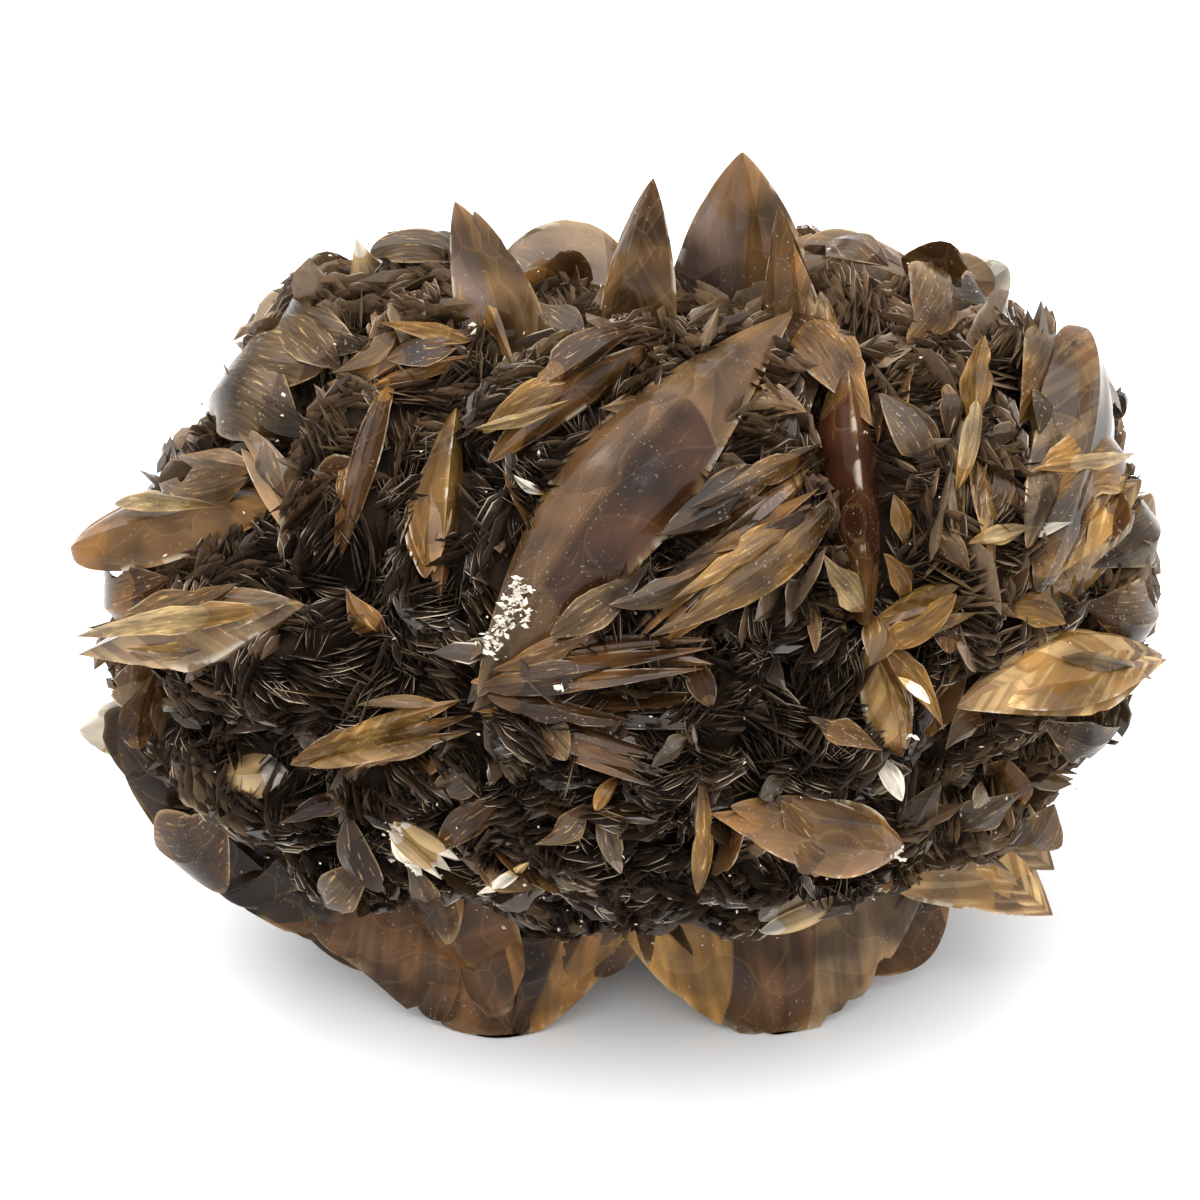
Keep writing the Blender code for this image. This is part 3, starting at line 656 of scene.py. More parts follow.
def dome_centres():
    rng = random.Random(DOME_SEED)
    directions = np.array([list(d) for d in spread_directions(DOMES, rng, DOME_JITTER)])
    return directions * ball_radii(directions)[:, None], np.array([rng.uniform(0.6, 1.3) for _ in directions])


def shell_points(directions):
    """Where the fine blades' feet stand along each direction, and how near each is to the top of its dome."""
    points = directions * ball_radii(directions)[:, None]
    centres, sizes = dome_centres()
    apart = np.sqrt(((points[:, None, :] - centres[None, :, :]) ** 2).sum(2))
    crest = (1 - (apart / (DOME_SPREAD * sizes)) ** 2).max(1).clip(-0.6, 1)
    lumps = np.array([noise.noise(Vector(p) / 9.0) for p in points])
    rise = DOME_RISE * (crest - 0.35) + 1.6 * lumps - SHELL_SINK
    return banked(points + directions * rise[:, None], directions), (crest + 0.6) / 1.6


def ball_of_triangles(subdivisions):
    made = bmesh.new()
    bmesh.ops.create_icosphere(made, subdivisions=subdivisions, radius=1.0)
    made.verts.ensure_lookup_table()
    directions = np.array([list(v.co.normalized()) for v in made.verts])
    faces = [tuple(v.index for v in f.verts) for f in made.faces]
    made.free()
    return directions, faces


def from_blade(points, blade):
    """Where points lie on a blade: their share along it, its half width and depths there, how far they are
    to its side and how far in front of its middle."""
    tip, _, length, axis, facing, side = array_axes(blade)
    from_tip = points - tip
    t = (from_tip @ axis) / length
    inner = t.clip(0.001, 0.999)
    swell = np.sin(np.pi * inner ** bias_for(blade.widest)) ** blade.blunt
    across = np.abs(from_tip @ side)
    depth = from_tip @ facing - blade.bulge * 4 * inner * (1 - inner)
    return t, swell, across, depth, facing


def near_blade(points, blade, spare_side, spare_depth, bare):
    """Which points lie in a blade or within the spare room round it."""
    t, swell, across, depth, _ = from_blade(points, blade)
    half = blade.width / 2 * swell
    shelf = (1 - across / (half + 0.01)).clip(0, 1)
    front = blade.thick / 2 * swell * shelf + spare_depth
    back = (blade.thick / 2 + blade.keel) * swell * shelf + spare_depth
    return (t > 0) & (t < bare) & (across < half + spare_side) & (depth < front) & (depth > -back)


def banked(points, directions):
    """The shell raised beside each blade that lies along it, up to the blade's rim."""
    raised = np.zeros(len(points))
    for blade in LARGE_BLADES:
        t, swell, across, depth, facing = from_blade(points, blade)
        faced = directions @ facing
        beyond = (across - blade.width / 2 * swell) / BANK_REACH
        near = (1 - np.abs(beyond)).clip(0, 1) * (1 - (t - 1).clip(0, 1) * 4).clip(0, 1)
        needed = (-depth - BANK_BELOW).clip(0, BANK_MOST) * near**0.7
        lies = (t > 0.12) & (t < 1.15) & (faced > 0.55) & (depth > -9)
        raised = np.where(lies, np.maximum(raised, needed), raised)
    return points + directions * raised[:, None]


# The parts of the shell that fans are grown on one after another, each by the way that it faces
PATCHES = {
    "front_left": (-0.55, -0.75, 0.25),
    "front_right": (0.55, -0.75, 0.25),
    "front_low": (0.0, -0.75, -0.6),
    "top_left": (-0.55, 0.1, 0.8),
    "top_right": (0.55, 0.1, 0.8),
    "back_left": (-0.6, 0.75, -0.1),
    "back_right": (0.6, 0.75, -0.1),
    "left_low": (-0.8, 0.0, -0.6),
    "right_low": (0.8, 0.0, -0.6),
}


# What keeps the fine blades out of the larger ones: how high in mm above the shell a point is tested, how
# much of a larger blade's width may be covered, how far in mm in front of it nothing may grow, and how much
# of its length from the tip counts
Clear = namedtuple("Clear", "height cover depth length", defaults=(0.85,))
CLEAR_SINGLE = Clear(1.2, 0.14, 1.2)
CLEAR_BUNDLE = Clear(1.2, 0.32, 1.2)
CLEAR_SIDE = Clear(1.2, 0.12, 0.8)
CLEAR_LEAF = Clear(1.6, 0.36, 0.2, 0.7)
SHELL_FINENESS = 6
GROWING_FINENESS = 7
NO_FANS_BELOW = 1.0


def growing_patches():
    """The shell in parts, each with how much room its points have for fine blades."""
    directions, faces = ball_of_triangles(GROWING_FINENESS)
    points, crest = shell_points(directions)
    room = np.ones(len(points))
    larger = [(b, CLEAR_BUNDLE if b.name in BUNDLES else CLEAR_SINGLE) for b in LARGE_BLADES]
    larger += [(b, CLEAR_SIDE) for b in side_blades()]
    larger += [(b, CLEAR_LEAF) for blades in leaves_by_finish().values() for b in blades]
    for blade, clear in larger:
        above = points + directions * clear.height
        room[near_blade(above, blade, -clear.cover * blade.width, clear.depth, clear.length)] = 0.0
    room[points[:, 2] + BODY_CENTRE.z < NO_FANS_BELOW] = 0.0
    away = np.linalg.norm(points - np.array(DARK_MIDDLE), axis=1)
    outer = ((away - DARK_REACH) / (PALE_REACH - DARK_REACH)).clip(0, 1)
    aims = np.array(list(PATCHES.values()), float)
    aims /= np.linalg.norm(aims, axis=1)[:, None]
    faces = np.array(faces)
    nearest = (directions[faces].mean(1) @ aims.T).argmax(1)
    for i, name in enumerate(PATCHES):
        chosen = faces[nearest == i]
        used, renumbered = np.unique(chosen, return_inverse=True)
        mesh = bpy.data.meshes.new(name)
        moved = (points[used] + np.array(BODY_CENTRE)) * MM
        mesh.from_pydata(moved.tolist(), [], renumbered.reshape(-1, 3).tolist())
        store(mesh, "room", "FLOAT", room[used])
        store(mesh, "crest", "FLOAT", crest[used])
        store(mesh, "outer", "FLOAT", outer[used])
        patch = bpy.data.objects.new(name, mesh)
        bpy.context.scene.collection.objects.link(patch)
        yield name, patch


# Node helpers


def put(tree, kind, sockets=None, **settings):
    """Adds a node, sets its settings, and fills its sockets with values or with links."""
    node = tree.nodes.new(kind)
    for name, value in settings.items():
        setattr(node, name, value)
    for key, value in (sockets or {}).items():
        if isinstance(value, bpy.types.NodeSocket):
            tree.links.new(value, node.inputs[key])
        else:
            node.inputs[key].default_value = value
    return node


def maths(tree, operation, *values, clamp=False):
    node = put(tree, "ShaderNodeMath", dict(enumerate(values)), operation=operation, use_clamp=clamp)
    return node.outputs[0]


def times(tree, first, second, clamp=False):
    return maths(tree, "MULTIPLY", first, second, clamp=clamp)


def plus(tree, first, second, clamp=False):
    return maths(tree, "ADD", first, second, clamp=clamp)


def vector_maths(tree, operation, *values):
    node = put(tree, "ShaderNodeVectorMath", dict(enumerate(values)), operation=operation)
    return node.outputs[0]


def joined(tree, x, y, z):
    return put(tree, "ShaderNodeCombineXYZ", {0: x, 1: y, 2: z}).outputs[0]


def parted(tree, vector):
    return put(tree, "ShaderNodeSeparateXYZ", {0: vector}).outputs


def remap(tree, value, low, high, new_low=0.0, new_high=1.0, smooth=True):
    kind = "SMOOTHSTEP" if smooth else "LINEAR"
    sockets = {0: value, 1: low, 2: high, 3: new_low, 4: new_high}
    return put(tree, "ShaderNodeMapRange", sockets, interpolation_type=kind).outputs[0]


def evenly(tree, value, low, high, new_low, new_high):
    return remap(tree, value, low, high, new_low, new_high, smooth=False)


def blend_colours(tree, share, first, second):
    return put(tree, "ShaderNodeMix", {0: share, 6: first, 7: second}, data_type="RGBA").outputs[2]


def noise_of(tree, vector, scale, detail=2.0, rough=0.5):
    sockets = {"Vector": vector, "Scale": scale, "Detail": detail, "Roughness": rough}
    return put(tree, "ShaderNodeTexNoise", sockets).outputs["Fac"]


def attribute(tree, name, output="Fac"):
    return put(tree, "ShaderNodeAttribute", attribute_name=name).outputs[output]


def new_group(name, inputs, outputs, kind="ShaderNodeTree"):
    """An empty node group. An input is given by its value, or by its kind where it has none, and an output
    by its kind."""
    tree = bpy.data.node_groups.new(name, kind)
    for label, value in inputs.items():
        socket = value if isinstance(value, str) else {float: "Float", int: "Int"}[type(value)]
        made = tree.interface.new_socket(label, in_out="INPUT", socket_type=f"NodeSocket{socket}")
        if not isinstance(value, str):
            made.default_value = value
    for label, socket in outputs.items():
        tree.interface.new_socket(label, in_out="OUTPUT", socket_type=f"NodeSocket{socket}")
    return tree, tree.nodes.new("NodeGroupInput").outputs, tree.nodes.new("NodeGroupOutput").inputs


def use_group(tree, group, sockets):
    return put(tree, "ShaderNodeGroup", sockets, node_tree=group).outputs


# Fans of fine blades


def random_number(tree, low, high, seed, kind="FLOAT"):
    low_at, high_at, out_at = {"FLOAT": (2, 3, 1), "INT": (4, 5, 2)}[kind]
    sockets = {low_at: low, high_at: high, "Seed": seed}
    return put(tree, "FunctionNodeRandomValue", sockets, data_type=kind).outputs[out_at]


def turned(tree, rotation, axis, angle):
    """A rotation, with a further turn about one of its own axes."""
    turn = put(tree, "FunctionNodeAxisAngleToRotation", {"Axis": axis, "Angle": angle}).outputs[0]
    sockets = {"Rotation": rotation, "Rotate By": turn}
    return put(tree, "FunctionNodeRotateRotation", sockets, rotation_space="LOCAL").outputs[0]


def carried(tree, vector, rotation):
    """A vector as it lies in a turned frame."""
    return put(tree, "FunctionNodeRotateVector", {"Vector": vector, "Rotation": rotation}).outputs[0]


# The fans' inputs and what they are for the fine blades: lengths in metres, angles in radians
FAN_INPUTS = {
    "Geometry": "Geometry", "Fan Spacing": 0.0020, "Inner Share": 1.0, "Outer Share": 0.7,
    "Fewest Blades": 7, "Most Blades": 12, "Pitch": 0.0003, "Splay": 0.07, "Splay Jitter": 0.12,
    "Lean": 0.4, "Smallest": 0.6, "Largest": 1.5, "Lift": 0.0, "Lift Jitter": 0.0006,
    "Lenses": "Collection", "Material": "Material", "Seed": 1,
}
MOST_FANS_PER_M2 = 400000.0
SPIN_SCALE = 75.0
SPIN_RANGE = 16.0
SLIP = 0.0009
STEP_JITTER = 0.35
SPIN_JITTER = 0.5
YAW_JITTER = 0.25
FAN_SIZES = (0.75, 1.2)
DIP_SIZE = 0.7
CREST_SIZE = 1.1
LENS_KINDS = 6


def fan_tree():
    """Fans of lenses all over a surface: each fan's lenses stand on edge side by side and splay apart."""
    tree, given, result = new_group(
        "fans of lenses", FAN_INPUTS, {"Geometry": "Geometry"}, "GeometryNodeTree"
    )
    tree.is_modifier = True

    def keep(geometry, name, value, domain="POINT", kind="FLOAT"):
        sockets = {"Geometry": geometry, "Name": name, "Value": value}
        return put(tree, "GeometryNodeStoreNamedAttribute", sockets, data_type=kind, domain=domain).outputs[0]

    def kept(name, kind="FLOAT"):
        return put(tree, "GeometryNodeInputNamedAttribute", {"Name": name}, data_type=kind).outputs[0]

    share = evenly(tree, kept("outer"), 0.0, 1.0, given["Inner Share"], given["Outer Share"])
    scattered = put(
        tree, "GeometryNodeDistributePointsOnFaces",
        {
            "Mesh": given["Geometry"], "Distance Min": given["Fan Spacing"], "Density Max": MOST_FANS_PER_M2,
            "Density Factor": times(tree, kept("room"), share), "Seed": given["Seed"],
        },
        distribute_method="POISSON",
    )
    points, base = scattered.outputs["Points"], scattered.outputs["Rotation"]
    seeds = [plus(tree, given["Seed"], float(10 * i)) for i in range(1, 12)]
    where = put(tree, "GeometryNodeInputPosition").outputs[0]
    sweep = times(tree, noise_of(tree, where, SPIN_SCALE, 1.0), SPIN_RANGE)
    spin = plus(tree, sweep, random_number(tree, -SPIN_JITTER, SPIN_JITTER, seeds[0]))
    points = keep(points, "spin", spin)
    points = keep(points, "fan_shade", random_number(tree, 0.0, 1.0, seeds[1]))
    points = keep(points, "fan_size", random_number(tree, *FAN_SIZES, seeds[2]))
    amount = random_number(tree, given["Fewest Blades"], given["Most Blades"], seeds[3], "INT")
    points = keep(points, "fan_count", amount, kind="INT")
    copies = put(
        tree, "GeometryNodeDuplicateElements", {"Geometry": points, "Amount": kept("fan_count", "INT")},
        domain="POINT",
    )
    middle = times(tree, maths(tree, "SUBTRACT", kept("fan_count", "INT"), 1.0), 0.5)
    step = maths(tree, "SUBTRACT", copies.outputs["Duplicate Index"], middle)
    step = plus(tree, step, random_number(tree, -STEP_JITTER, STEP_JITTER, seeds[4]))
    turn = turned(tree, base, (0.0, 0.0, 1.0), kept("spin"))
    jitter = given["Splay Jitter"]
    splay = times(tree, step, given["Splay"])
    splay = plus(tree, splay, random_number(tree, times(tree, jitter, -1.0), jitter, seeds[5]))
    opened = turned(tree, turn, (1.0, 0.0, 0.0), times(tree, splay, -1.0))
    lean = random_number(tree, times(tree, given["Lean"], -1.0), given["Lean"], seeds[6])
    leaned = turned(tree, opened, (0.0, 1.0, 0.0), lean)
    leaned = turned(tree, leaned, (0.0, 0.0, 1.0), random_number(tree, -YAW_JITTER, YAW_JITTER, seeds[10]))
    shuffle = random_number(tree, -SLIP, SLIP, seeds[9])
    aside = carried(tree, joined(tree, shuffle, times(tree, step, given["Pitch"]), 0.0), turn)
    rise = times(tree, random_number(tree, -1.0, 1.0, seeds[7]), given["Lift Jitter"])
    up = carried(tree, joined(tree, 0.0, 0.0, plus(tree, rise, given["Lift"])), opened)
    moved = put(
        tree, "GeometryNodeSetPosition",
        {"Geometry": copies.outputs["Geometry"], "Offset": vector_maths(tree, "ADD", aside, up)},
    ).outputs[0]
    lenses = put(
        tree, "GeometryNodeCollectionInfo",
        {"Collection": given["Lenses"], "Separate Children": True, "Reset Children": True},
    ).outputs[0]
    size = random_number(tree, given["Smallest"], given["Largest"], seeds[8])
    size = times(tree, size, kept("fan_size"))
    size = times(tree, size, evenly(tree, kept("crest"), 0.0, 1.0, DIP_SIZE, CREST_SIZE))
    instances = put(
        tree, "GeometryNodeInstanceOnPoints",
        {
            "Points": moved, "Instance": lenses, "Pick Instance": True, "Rotation": leaned, "Scale": size,
            "Instance Index": random_number(tree, 0, LENS_KINDS - 1, 7, "INT"),
        },
    ).outputs[0]
    shade = plus(tree, times(tree, kept("fan_shade"), 0.5), random_number(tree, 0.0, 0.5, 8))
    instances = keep(instances, "shade", shade, "INSTANCE")
    solid = put(tree, "GeometryNodeRealizeInstances", {"Geometry": instances}).outputs[0]
    for name in ("spin", "fan_shade", "fan_size", "fan_count", "room", "outer"):
        solid = put(tree, "GeometryNodeRemoveAttribute", {"Geometry": solid, "Name": name}).outputs[0]
    sockets = {"Geometry": solid, "Material": given["Material"]}
    tree.links.new(put(tree, "GeometryNodeSetMaterial", sockets).outputs[0], result["Geometry"])
    return tree


def lens_kinds(name, length, width, thick, rings, seed):
    """A few small lenses of one size, standing on edge along X with their middles at the origin."""
    rng = random.Random(seed)
    kinds = bpy.data.collections.new(name)
    for i in range(LENS_KINDS):
        long, wide, deep = (size * rng.uniform(0.8, 1.2) for size in (length, width, thick))
        skew = rng.uniform(-0.25, 0.25)
        ridge = rng.uniform(-0.3, 0.3)
        bias = bias_for(rng.uniform(0.35, 0.65))
        points, rim = [(-long / 2, 0, skew * wide / 2)], [0.7]
        for j in range(rings):
            t = (j + 1) / (rings + 1)
            swell = math.sin(math.pi * t**bias)
            bend = skew * wide * (0.5 - 4 * t * (1 - t) * 0.5) + rng.uniform(-0.09, 0.09) * wide
            x = (t - 0.5) * long
            half, fat = wide / 2 * swell, deep / 2 * (0.4 + 0.6 * swell)
            crest = bend + half * ridge
            points += [(x, 0, bend + half), (x, fat, crest), (x, 0, bend - half), (x, -fat, crest)]
            rim += [1.0, 0.0, 1.0, 0.0]
        points.append((long / 2, 0, skew * wide / 2))
        rim.append(0.7)
        faces, last = [], len(points) - 1
        for k in range(4):
            j = (k + 1) % 4
            faces += [(0, 1 + j, 1 + k), (last, last - 4 + k, last - 4 + j)]
            for ring in range(rings - 1):
                near, far = 1 + 4 * ring, 5 + 4 * ring
                faces.append((near + k, near + j, far + j, far + k))
        mesh = bpy.data.meshes.new(f"{name}_{i}")
        mesh.from_pydata([[c * MM for c in p] for p in points], [], faces)
        store(mesh, "rim", "FLOAT", rim)
        made = bmesh.new()
        made.from_mesh(mesh)
        bmesh.ops.recalc_face_normals(made, faces=made.faces)
        made.to_mesh(mesh)
        made.free()
        kinds.objects.link(bpy.data.objects.new(mesh.name, mesh))
    return kinds


def grow_fans(patch, tree, values, name):
    """The fans on one patch of the shell, as a plain mesh."""
    grower = patch.modifiers.new("fans", "NODES")
    grower.node_group = tree
    named = {item.name: item.identifier for item in tree.interface.items_tree if item.in_out == "INPUT"}
    for label, value in values.items():
        grower[named[label]] = value
    bpy.context.view_layer.update()
    graph = bpy.context.evaluated_depsgraph_get()
    mesh = bpy.data.meshes.new_from_object(patch.evaluated_get(graph))
    patch.modifiers.remove(grower)
    mesh.name = name
    points = np.zeros(len(mesh.vertices) * 3, np.float32)
    mesh.vertices.foreach_get("co", points)
    points = points.reshape(-1, 3)
    points[:, 2] = np.maximum(points[:, 2], LOWEST_FAN)
    beyond = np.abs(points[:, 1]) - FAN_LIMIT
    points[:, 1] -= np.sign(points[:, 1]) * np.maximum(beyond, 0.0) * FAN_PRESS
    mesh.vertices.foreach_set("co", points.ravel())
    mesh.update()
    piece = bpy.data.objects.new(name, mesh)
    bpy.context.scene.collection.objects.link(piece)
    return piece


# Finishes


def striations_group():
    """Fine lines along a blade, or across it where they are turned."""
    inputs = {"Growth": "Vector", "Turn": 0.0, "Spacing": 0.5, "Length": 8.0}
    tree, given, result = new_group("striations", inputs, {"Lines": "Float"})
    sockets = {"Vector": given["Growth"], "Angle": given["Turn"]}
    turn = put(tree, "ShaderNodeVectorRotate", sockets, rotation_type="Z_AXIS").outputs[0]
    split = parted(tree, turn)
    along = maths(tree, "DIVIDE", split[0], times(tree, given["Spacing"], given["Length"]))
    across = maths(tree, "DIVIDE", split[1], given["Spacing"])
    tree.links.new(noise_of(tree, joined(tree, along, across, 0.0), 1.0, 2.0, 0.6), result["Lines"])
    return tree


def veils_group():
    """The flat inner cracks that part a crystal into darker and paler cells."""
    inputs = {"Growth": "Vector", "Cell": 5.0}
    tree, given, result = new_group("inner veils", inputs, {"Tone": "Float", "Crack": "Float"})
    sockets = {"Vector": given["Growth"], "Scale": 0.12, "Detail": 0.0}
    bent = put(tree, "ShaderNodeTexNoise", sockets).outputs["Color"]
    bent = vector_maths(tree, "MULTIPLY", bent, (9.0, 9.0, 9.0))
    bent = vector_maths(tree, "ADD", bent, vector_maths(tree, "MULTIPLY", given["Growth"], (0.55, 1.0, 0.6)))
    cell = joined(tree, given["Cell"], given["Cell"], given["Cell"])
    sockets = {"Vector": vector_maths(tree, "DIVIDE", bent, cell), "Scale": 1.0}
    tones = put(tree, "ShaderNodeTexVoronoi", sockets, feature="F1").outputs["Color"]
    tone = put(tree, "ShaderNodeSeparateColor", {0: tones}).outputs[0]
    edges = put(tree, "ShaderNodeTexVoronoi", sockets, feature="DISTANCE_TO_EDGE").outputs[0]
    tree.links.new(tone, result["Tone"])
    tree.links.new(remap(tree, edges, 0.0, 0.035, 1.0, 0.0), result["Crack"])
    return tree


def feathers_group():
    """Pale growth lines that run back from the ridge on both sides, like the barbs of a feather."""
    inputs = {"Growth": "Vector", "Spacing": 1.3}
    tree, given, result = new_group("feathers", inputs, {"Feathers": "Float"})
    split = parted(tree, given["Growth"])
    aside = times(tree, maths(tree, "ABSOLUTE", split[1]), 1.4)
    barbs = maths(tree, "DIVIDE", maths(tree, "SUBTRACT", split[0], aside), given["Spacing"])
    side = times(tree, maths(tree, "SIGN", split[1]), 7.0)
    where = joined(tree, barbs, side, times(tree, split[1], 0.15))
    tree.links.new(remap(tree, noise_of(tree, where, 0.8, 1.0), 0.46, 0.62), result["Feathers"])
    return tree


def zones_group():
    """Masks of a blade's tip and root ends, whose borders are arcs across the blade."""
    inputs = {"Place": "Vector", "Tip Border": 0.2, "Root Border": 0.8, "Arc": 0.08, "Blur": 0.006}
    tree, given, result = new_group("growth zones", inputs, {"Tip": "Float", "Root": "Float"})
    split = parted(tree, given["Place"])
    ahead = plus(tree, split[0], times(tree, times(tree, split[1], split[1]), given["Arc"]))
    for output, way in (("Tip", -1.0), ("Root", 1.0)):
        past = times(tree, maths(tree, "SUBTRACT", ahead, given[f"{output} Border"]), way)
        share = maths(tree, "DIVIDE", past, given["Blur"])
        tree.links.new(plus(tree, share, 0.5, clamp=True), result[output])
    return tree


def wear_group():
    """Where a blade is broken white along its rim, and where pale dust lies on it."""
    inputs = {"Object": "Vector", "Edge": 0.0, "Chipped": 0.4, "Dusty": 0.25}
    tree, given, result = new_group("chips and dust", inputs, {"Chips": "Float", "Dust": "Float"})
    patches = noise_of(tree, given["Object"], 260.0, 2.0, 0.7)
    broken = times(tree, remap(tree, given["Edge"], 0.86, 1.0), remap(tree, patches, 0.52, 0.6))
    tree.links.new(times(tree, broken, given["Chipped"], clamp=True), result["Chips"])
    specks = remap(tree, noise_of(tree, given["Object"], 2600.0, 0.0), 0.735, 0.77)
    where = remap(tree, noise_of(tree, given["Object"], 120.0, 0.0), 0.42, 0.62)
    specks = times(tree, times(tree, specks, where), given["Dusty"], clamp=True)
    tree.links.new(specks, result["Dust"])
    return tree


def paleness_group():
    """How much paler and greyer the outer parts of the cluster are than its dark front: partly the crystal's
    own tone, partly painted light from the bright room round it.
    """
    tree, given, result = new_group("paler outside", {"Object": "Vector"}, {"Paleness": "Float"})
    sockets = {0: given["Object"], 1: (Vector(DARK_MIDDLE) + BODY_CENTRE) * MM}
    away = put(tree, "ShaderNodeVectorMath", sockets, operation="DISTANCE").outputs["Value"]
    patches = maths(tree, "SUBTRACT", noise_of(tree, given["Object"], 45.0, 0.0), 0.5)
    away = plus(tree, away, times(tree, patches, 0.04))
    tree.links.new(remap(tree, away, DARK_REACH * MM, PALE_REACH * MM), result["Paleness"])
    return tree


def colour(red, green, blue):
    return (red, green, blue, 1.0)


def dimmed(tint, share):
    return colour(*(share * part for part in tint[:3]))


CREAM = colour(0.80, 0.72, 0.58)
DUST = colour(0.62, 0.55, 0.48)

# A blade's finish: its tints and where they meet along it, the tint of the half that leans away, how
# see-through and rough it is, its absorption, its lines, its worn rim, its inner cells, its gloss and its
# growth lines
Look = namedtuple(
    "Look",
    "tip middle root tip_border root_border arc lean_tint left_share clear rough amber density turn spacing "
    "chipped grain cell shine feather",
    defaults=(
        0.22, 0.78, 0.08, colour(0.4, 0.3, 0.3), 0.0, 0.5, 0.12, colour(0.78, 0.46, 0.22), 260.0, 0.0, 0.9,
        0.5, 0.10, 6.0, 0.22, 0.0
    ),
)
SELENITE_IOR = 1.52
CLOUD_SCALE = 150.0
CLOUD_RANGE = (0.34, 0.66, 0.48, 1.45)
# Brighter towards a blade's rims: partly frosted rims, partly painted light through the thinner edges
EDGE_RANGE = (0.1, 1.0, 0.8, 1.25)
SHADE_RANGE = (0.0, 1.0, 0.6, 1.25)
VEIL_RANGE = (0.0, 1.0, 0.72, 1.22)
# Painted highlights on the rims and the brightest striations: the noise range that lights them, and where a
# rim's highlight starts
LIT_RIM = (0.42, 0.6, 0.02, 0.34)
RIM_FROM = 0.86
LEAN_AT_ENDS = 0.35
CRACK_GLOW = 0.07
# How strong the painted highlights along the striations are
LINE_GLOW = 3.0
CHIP_ROUGHNESS = 0.5
LINE_HEIGHT = 1.1
FEATHER_SPACING = 1.3


def new_material(name):
    """A material, with its node tree, its shader's inputs and the point in the piece's own space."""
    material = bpy.data.materials.new(name)
    material.use_nodes = True
    tree = material.node_tree
    shader = tree.nodes["Principled BSDF"].inputs
    return material, tree, shader, put(tree, "ShaderNodeTexCoord").outputs["Object"]


def set_surface(tree, shader, colours, roughness, values, bump=None):
    """Fills the shader's colour and roughness with links, its other sockets with plain values, and its
    normal with a bump of a strength, a distance and a height."""
    tree.links.new(colours, shader["Base Color"])
    tree.links.new(roughness, shader["Roughness"])
    for name, value in values.items():
        shader[name].default_value = value
    if bump:
        sockets = dict(zip(("Strength", "Distance", "Height"), bump))
        tree.links.new(put(tree, "ShaderNodeBump", sockets).outputs[0], shader["Normal"])


def selenite(name, look, groups):
    """A see-through brown selenite: zones of tint along the blade, striations, painted highlights on its rims
    and brightest striations, pale chips and dust.
    A later tint lies over the earlier ones, so the chips come last."""
    material, tree, shader, position = new_material(name)
    growth, place = attribute(tree, "growth", "Vector"), attribute(tree, "place", "Vector")
    aside = parted(tree, place)[1]
    edge = maths(tree, "ABSOLUTE", aside)
    borders = {"Tip Border": look.tip_border, "Root Border": look.root_border, "Arc": look.arc}
    zones = use_group(tree, groups["zones"], {"Place": place} | borders)
    sockets = {"Growth": growth, "Turn": look.turn, "Spacing": look.spacing}
    lines = use_group(tree, groups["striations"], sockets)["Lines"]
    clouds = noise_of(tree, position, CLOUD_SCALE, 1.0)
    tint = blend_colours(tree, zones["Tip"], look.middle, look.tip)
    tint = blend_colours(tree, zones["Root"], tint, look.root)
    ends = maths(tree, "MAXIMUM", zones["Tip"], zones["Root"])
    share = evenly(tree, ends, 0.0, 1.0, look.left_share, look.left_share * LEAN_AT_ENDS)
    tint = blend_colours(tree, times(tree, remap(tree, aside, -0.1, 0.1), share), tint, look.lean_tint)
    streak = evenly(tree, lines, 0.3, 0.7, 1 - look.grain, 1 + look.grain)
    # Brighter towards the rims, partly as painted light through the thin edges, and varied by random clouds,
    # blade tone and veils
    ranges = [(clouds, CLOUD_RANGE), (edge, EDGE_RANGE), (attribute(tree, "shade"), SHADE_RANGE)]
    if look.cell:
        veils = use_group(tree, groups["veils"], {"Growth": growth, "Cell": look.cell})
        ranges.append((veils["Tone"], VEIL_RANGE))
    for value, limits in ranges:
        streak = times(tree, streak, evenly(tree, value, *limits))
    if look.feather:
        sockets = {"Growth": growth, "Spacing": FEATHER_SPACING}
        feathers = use_group(tree, groups["feathers"], sockets)["Feathers"]
        tint = blend_colours(tree, times(tree, feathers, look.feather), tint, STRAW)
    tint = vector_maths(tree, "MULTIPLY", tint, joined(tree, streak, streak, streak))
    # Painted highlights: pale rims and pale striation lines where the noise lets them catch the light
    lit_rim = remap(tree, clouds, *LIT_RIM)
    glow = times(tree, remap(tree, edge, RIM_FROM, 1.0), lit_rim)
    if look.cell:
        glow = maths(tree, "MAXIMUM", glow, times(tree, veils["Crack"], CRACK_GLOW))
    streaked = 0.0 if look.turn else look.grain * LINE_GLOW
    bright = times(tree, remap(tree, lines, 0.62, 0.68), times(tree, lit_rim, streaked))
    tint = blend_colours(tree, maths(tree, "MAXIMUM", glow, bright, clamp=True), tint, STRAW)
    sockets = {"Object": position, "Edge": edge, "Chipped": look.chipped}
    wear = use_group(tree, groups["wear"], sockets)
    tint = blend_colours(tree, wear["Dust"], tint, DUST)
    tint = blend_colours(tree, wear["Chips"], tint, CREAM)
    rough = evenly(tree, lines, 0.3, 0.7, look.rough * 0.6, look.rough * 1.5)
    rough = plus(tree, rough, times(tree, wear["Chips"], CHIP_ROUGHNESS), clamp=True)
    values = {"Transmission Weight": look.clear, "IOR": SELENITE_IOR, "Specular IOR Level": look.shine}
    height = times(tree, lines, look.grain * LINE_HEIGHT)
    set_surface(tree, shader, tint, rough, values, (0.5, 0.00025, height))
    if look.density:
        absorb = put(tree, "ShaderNodeVolumeAbsorption", {"Color": look.amber, "Density": look.density})
        tree.links.new(absorb.outputs[0], tree.nodes["Material Output"].inputs["Volume"])
    return material
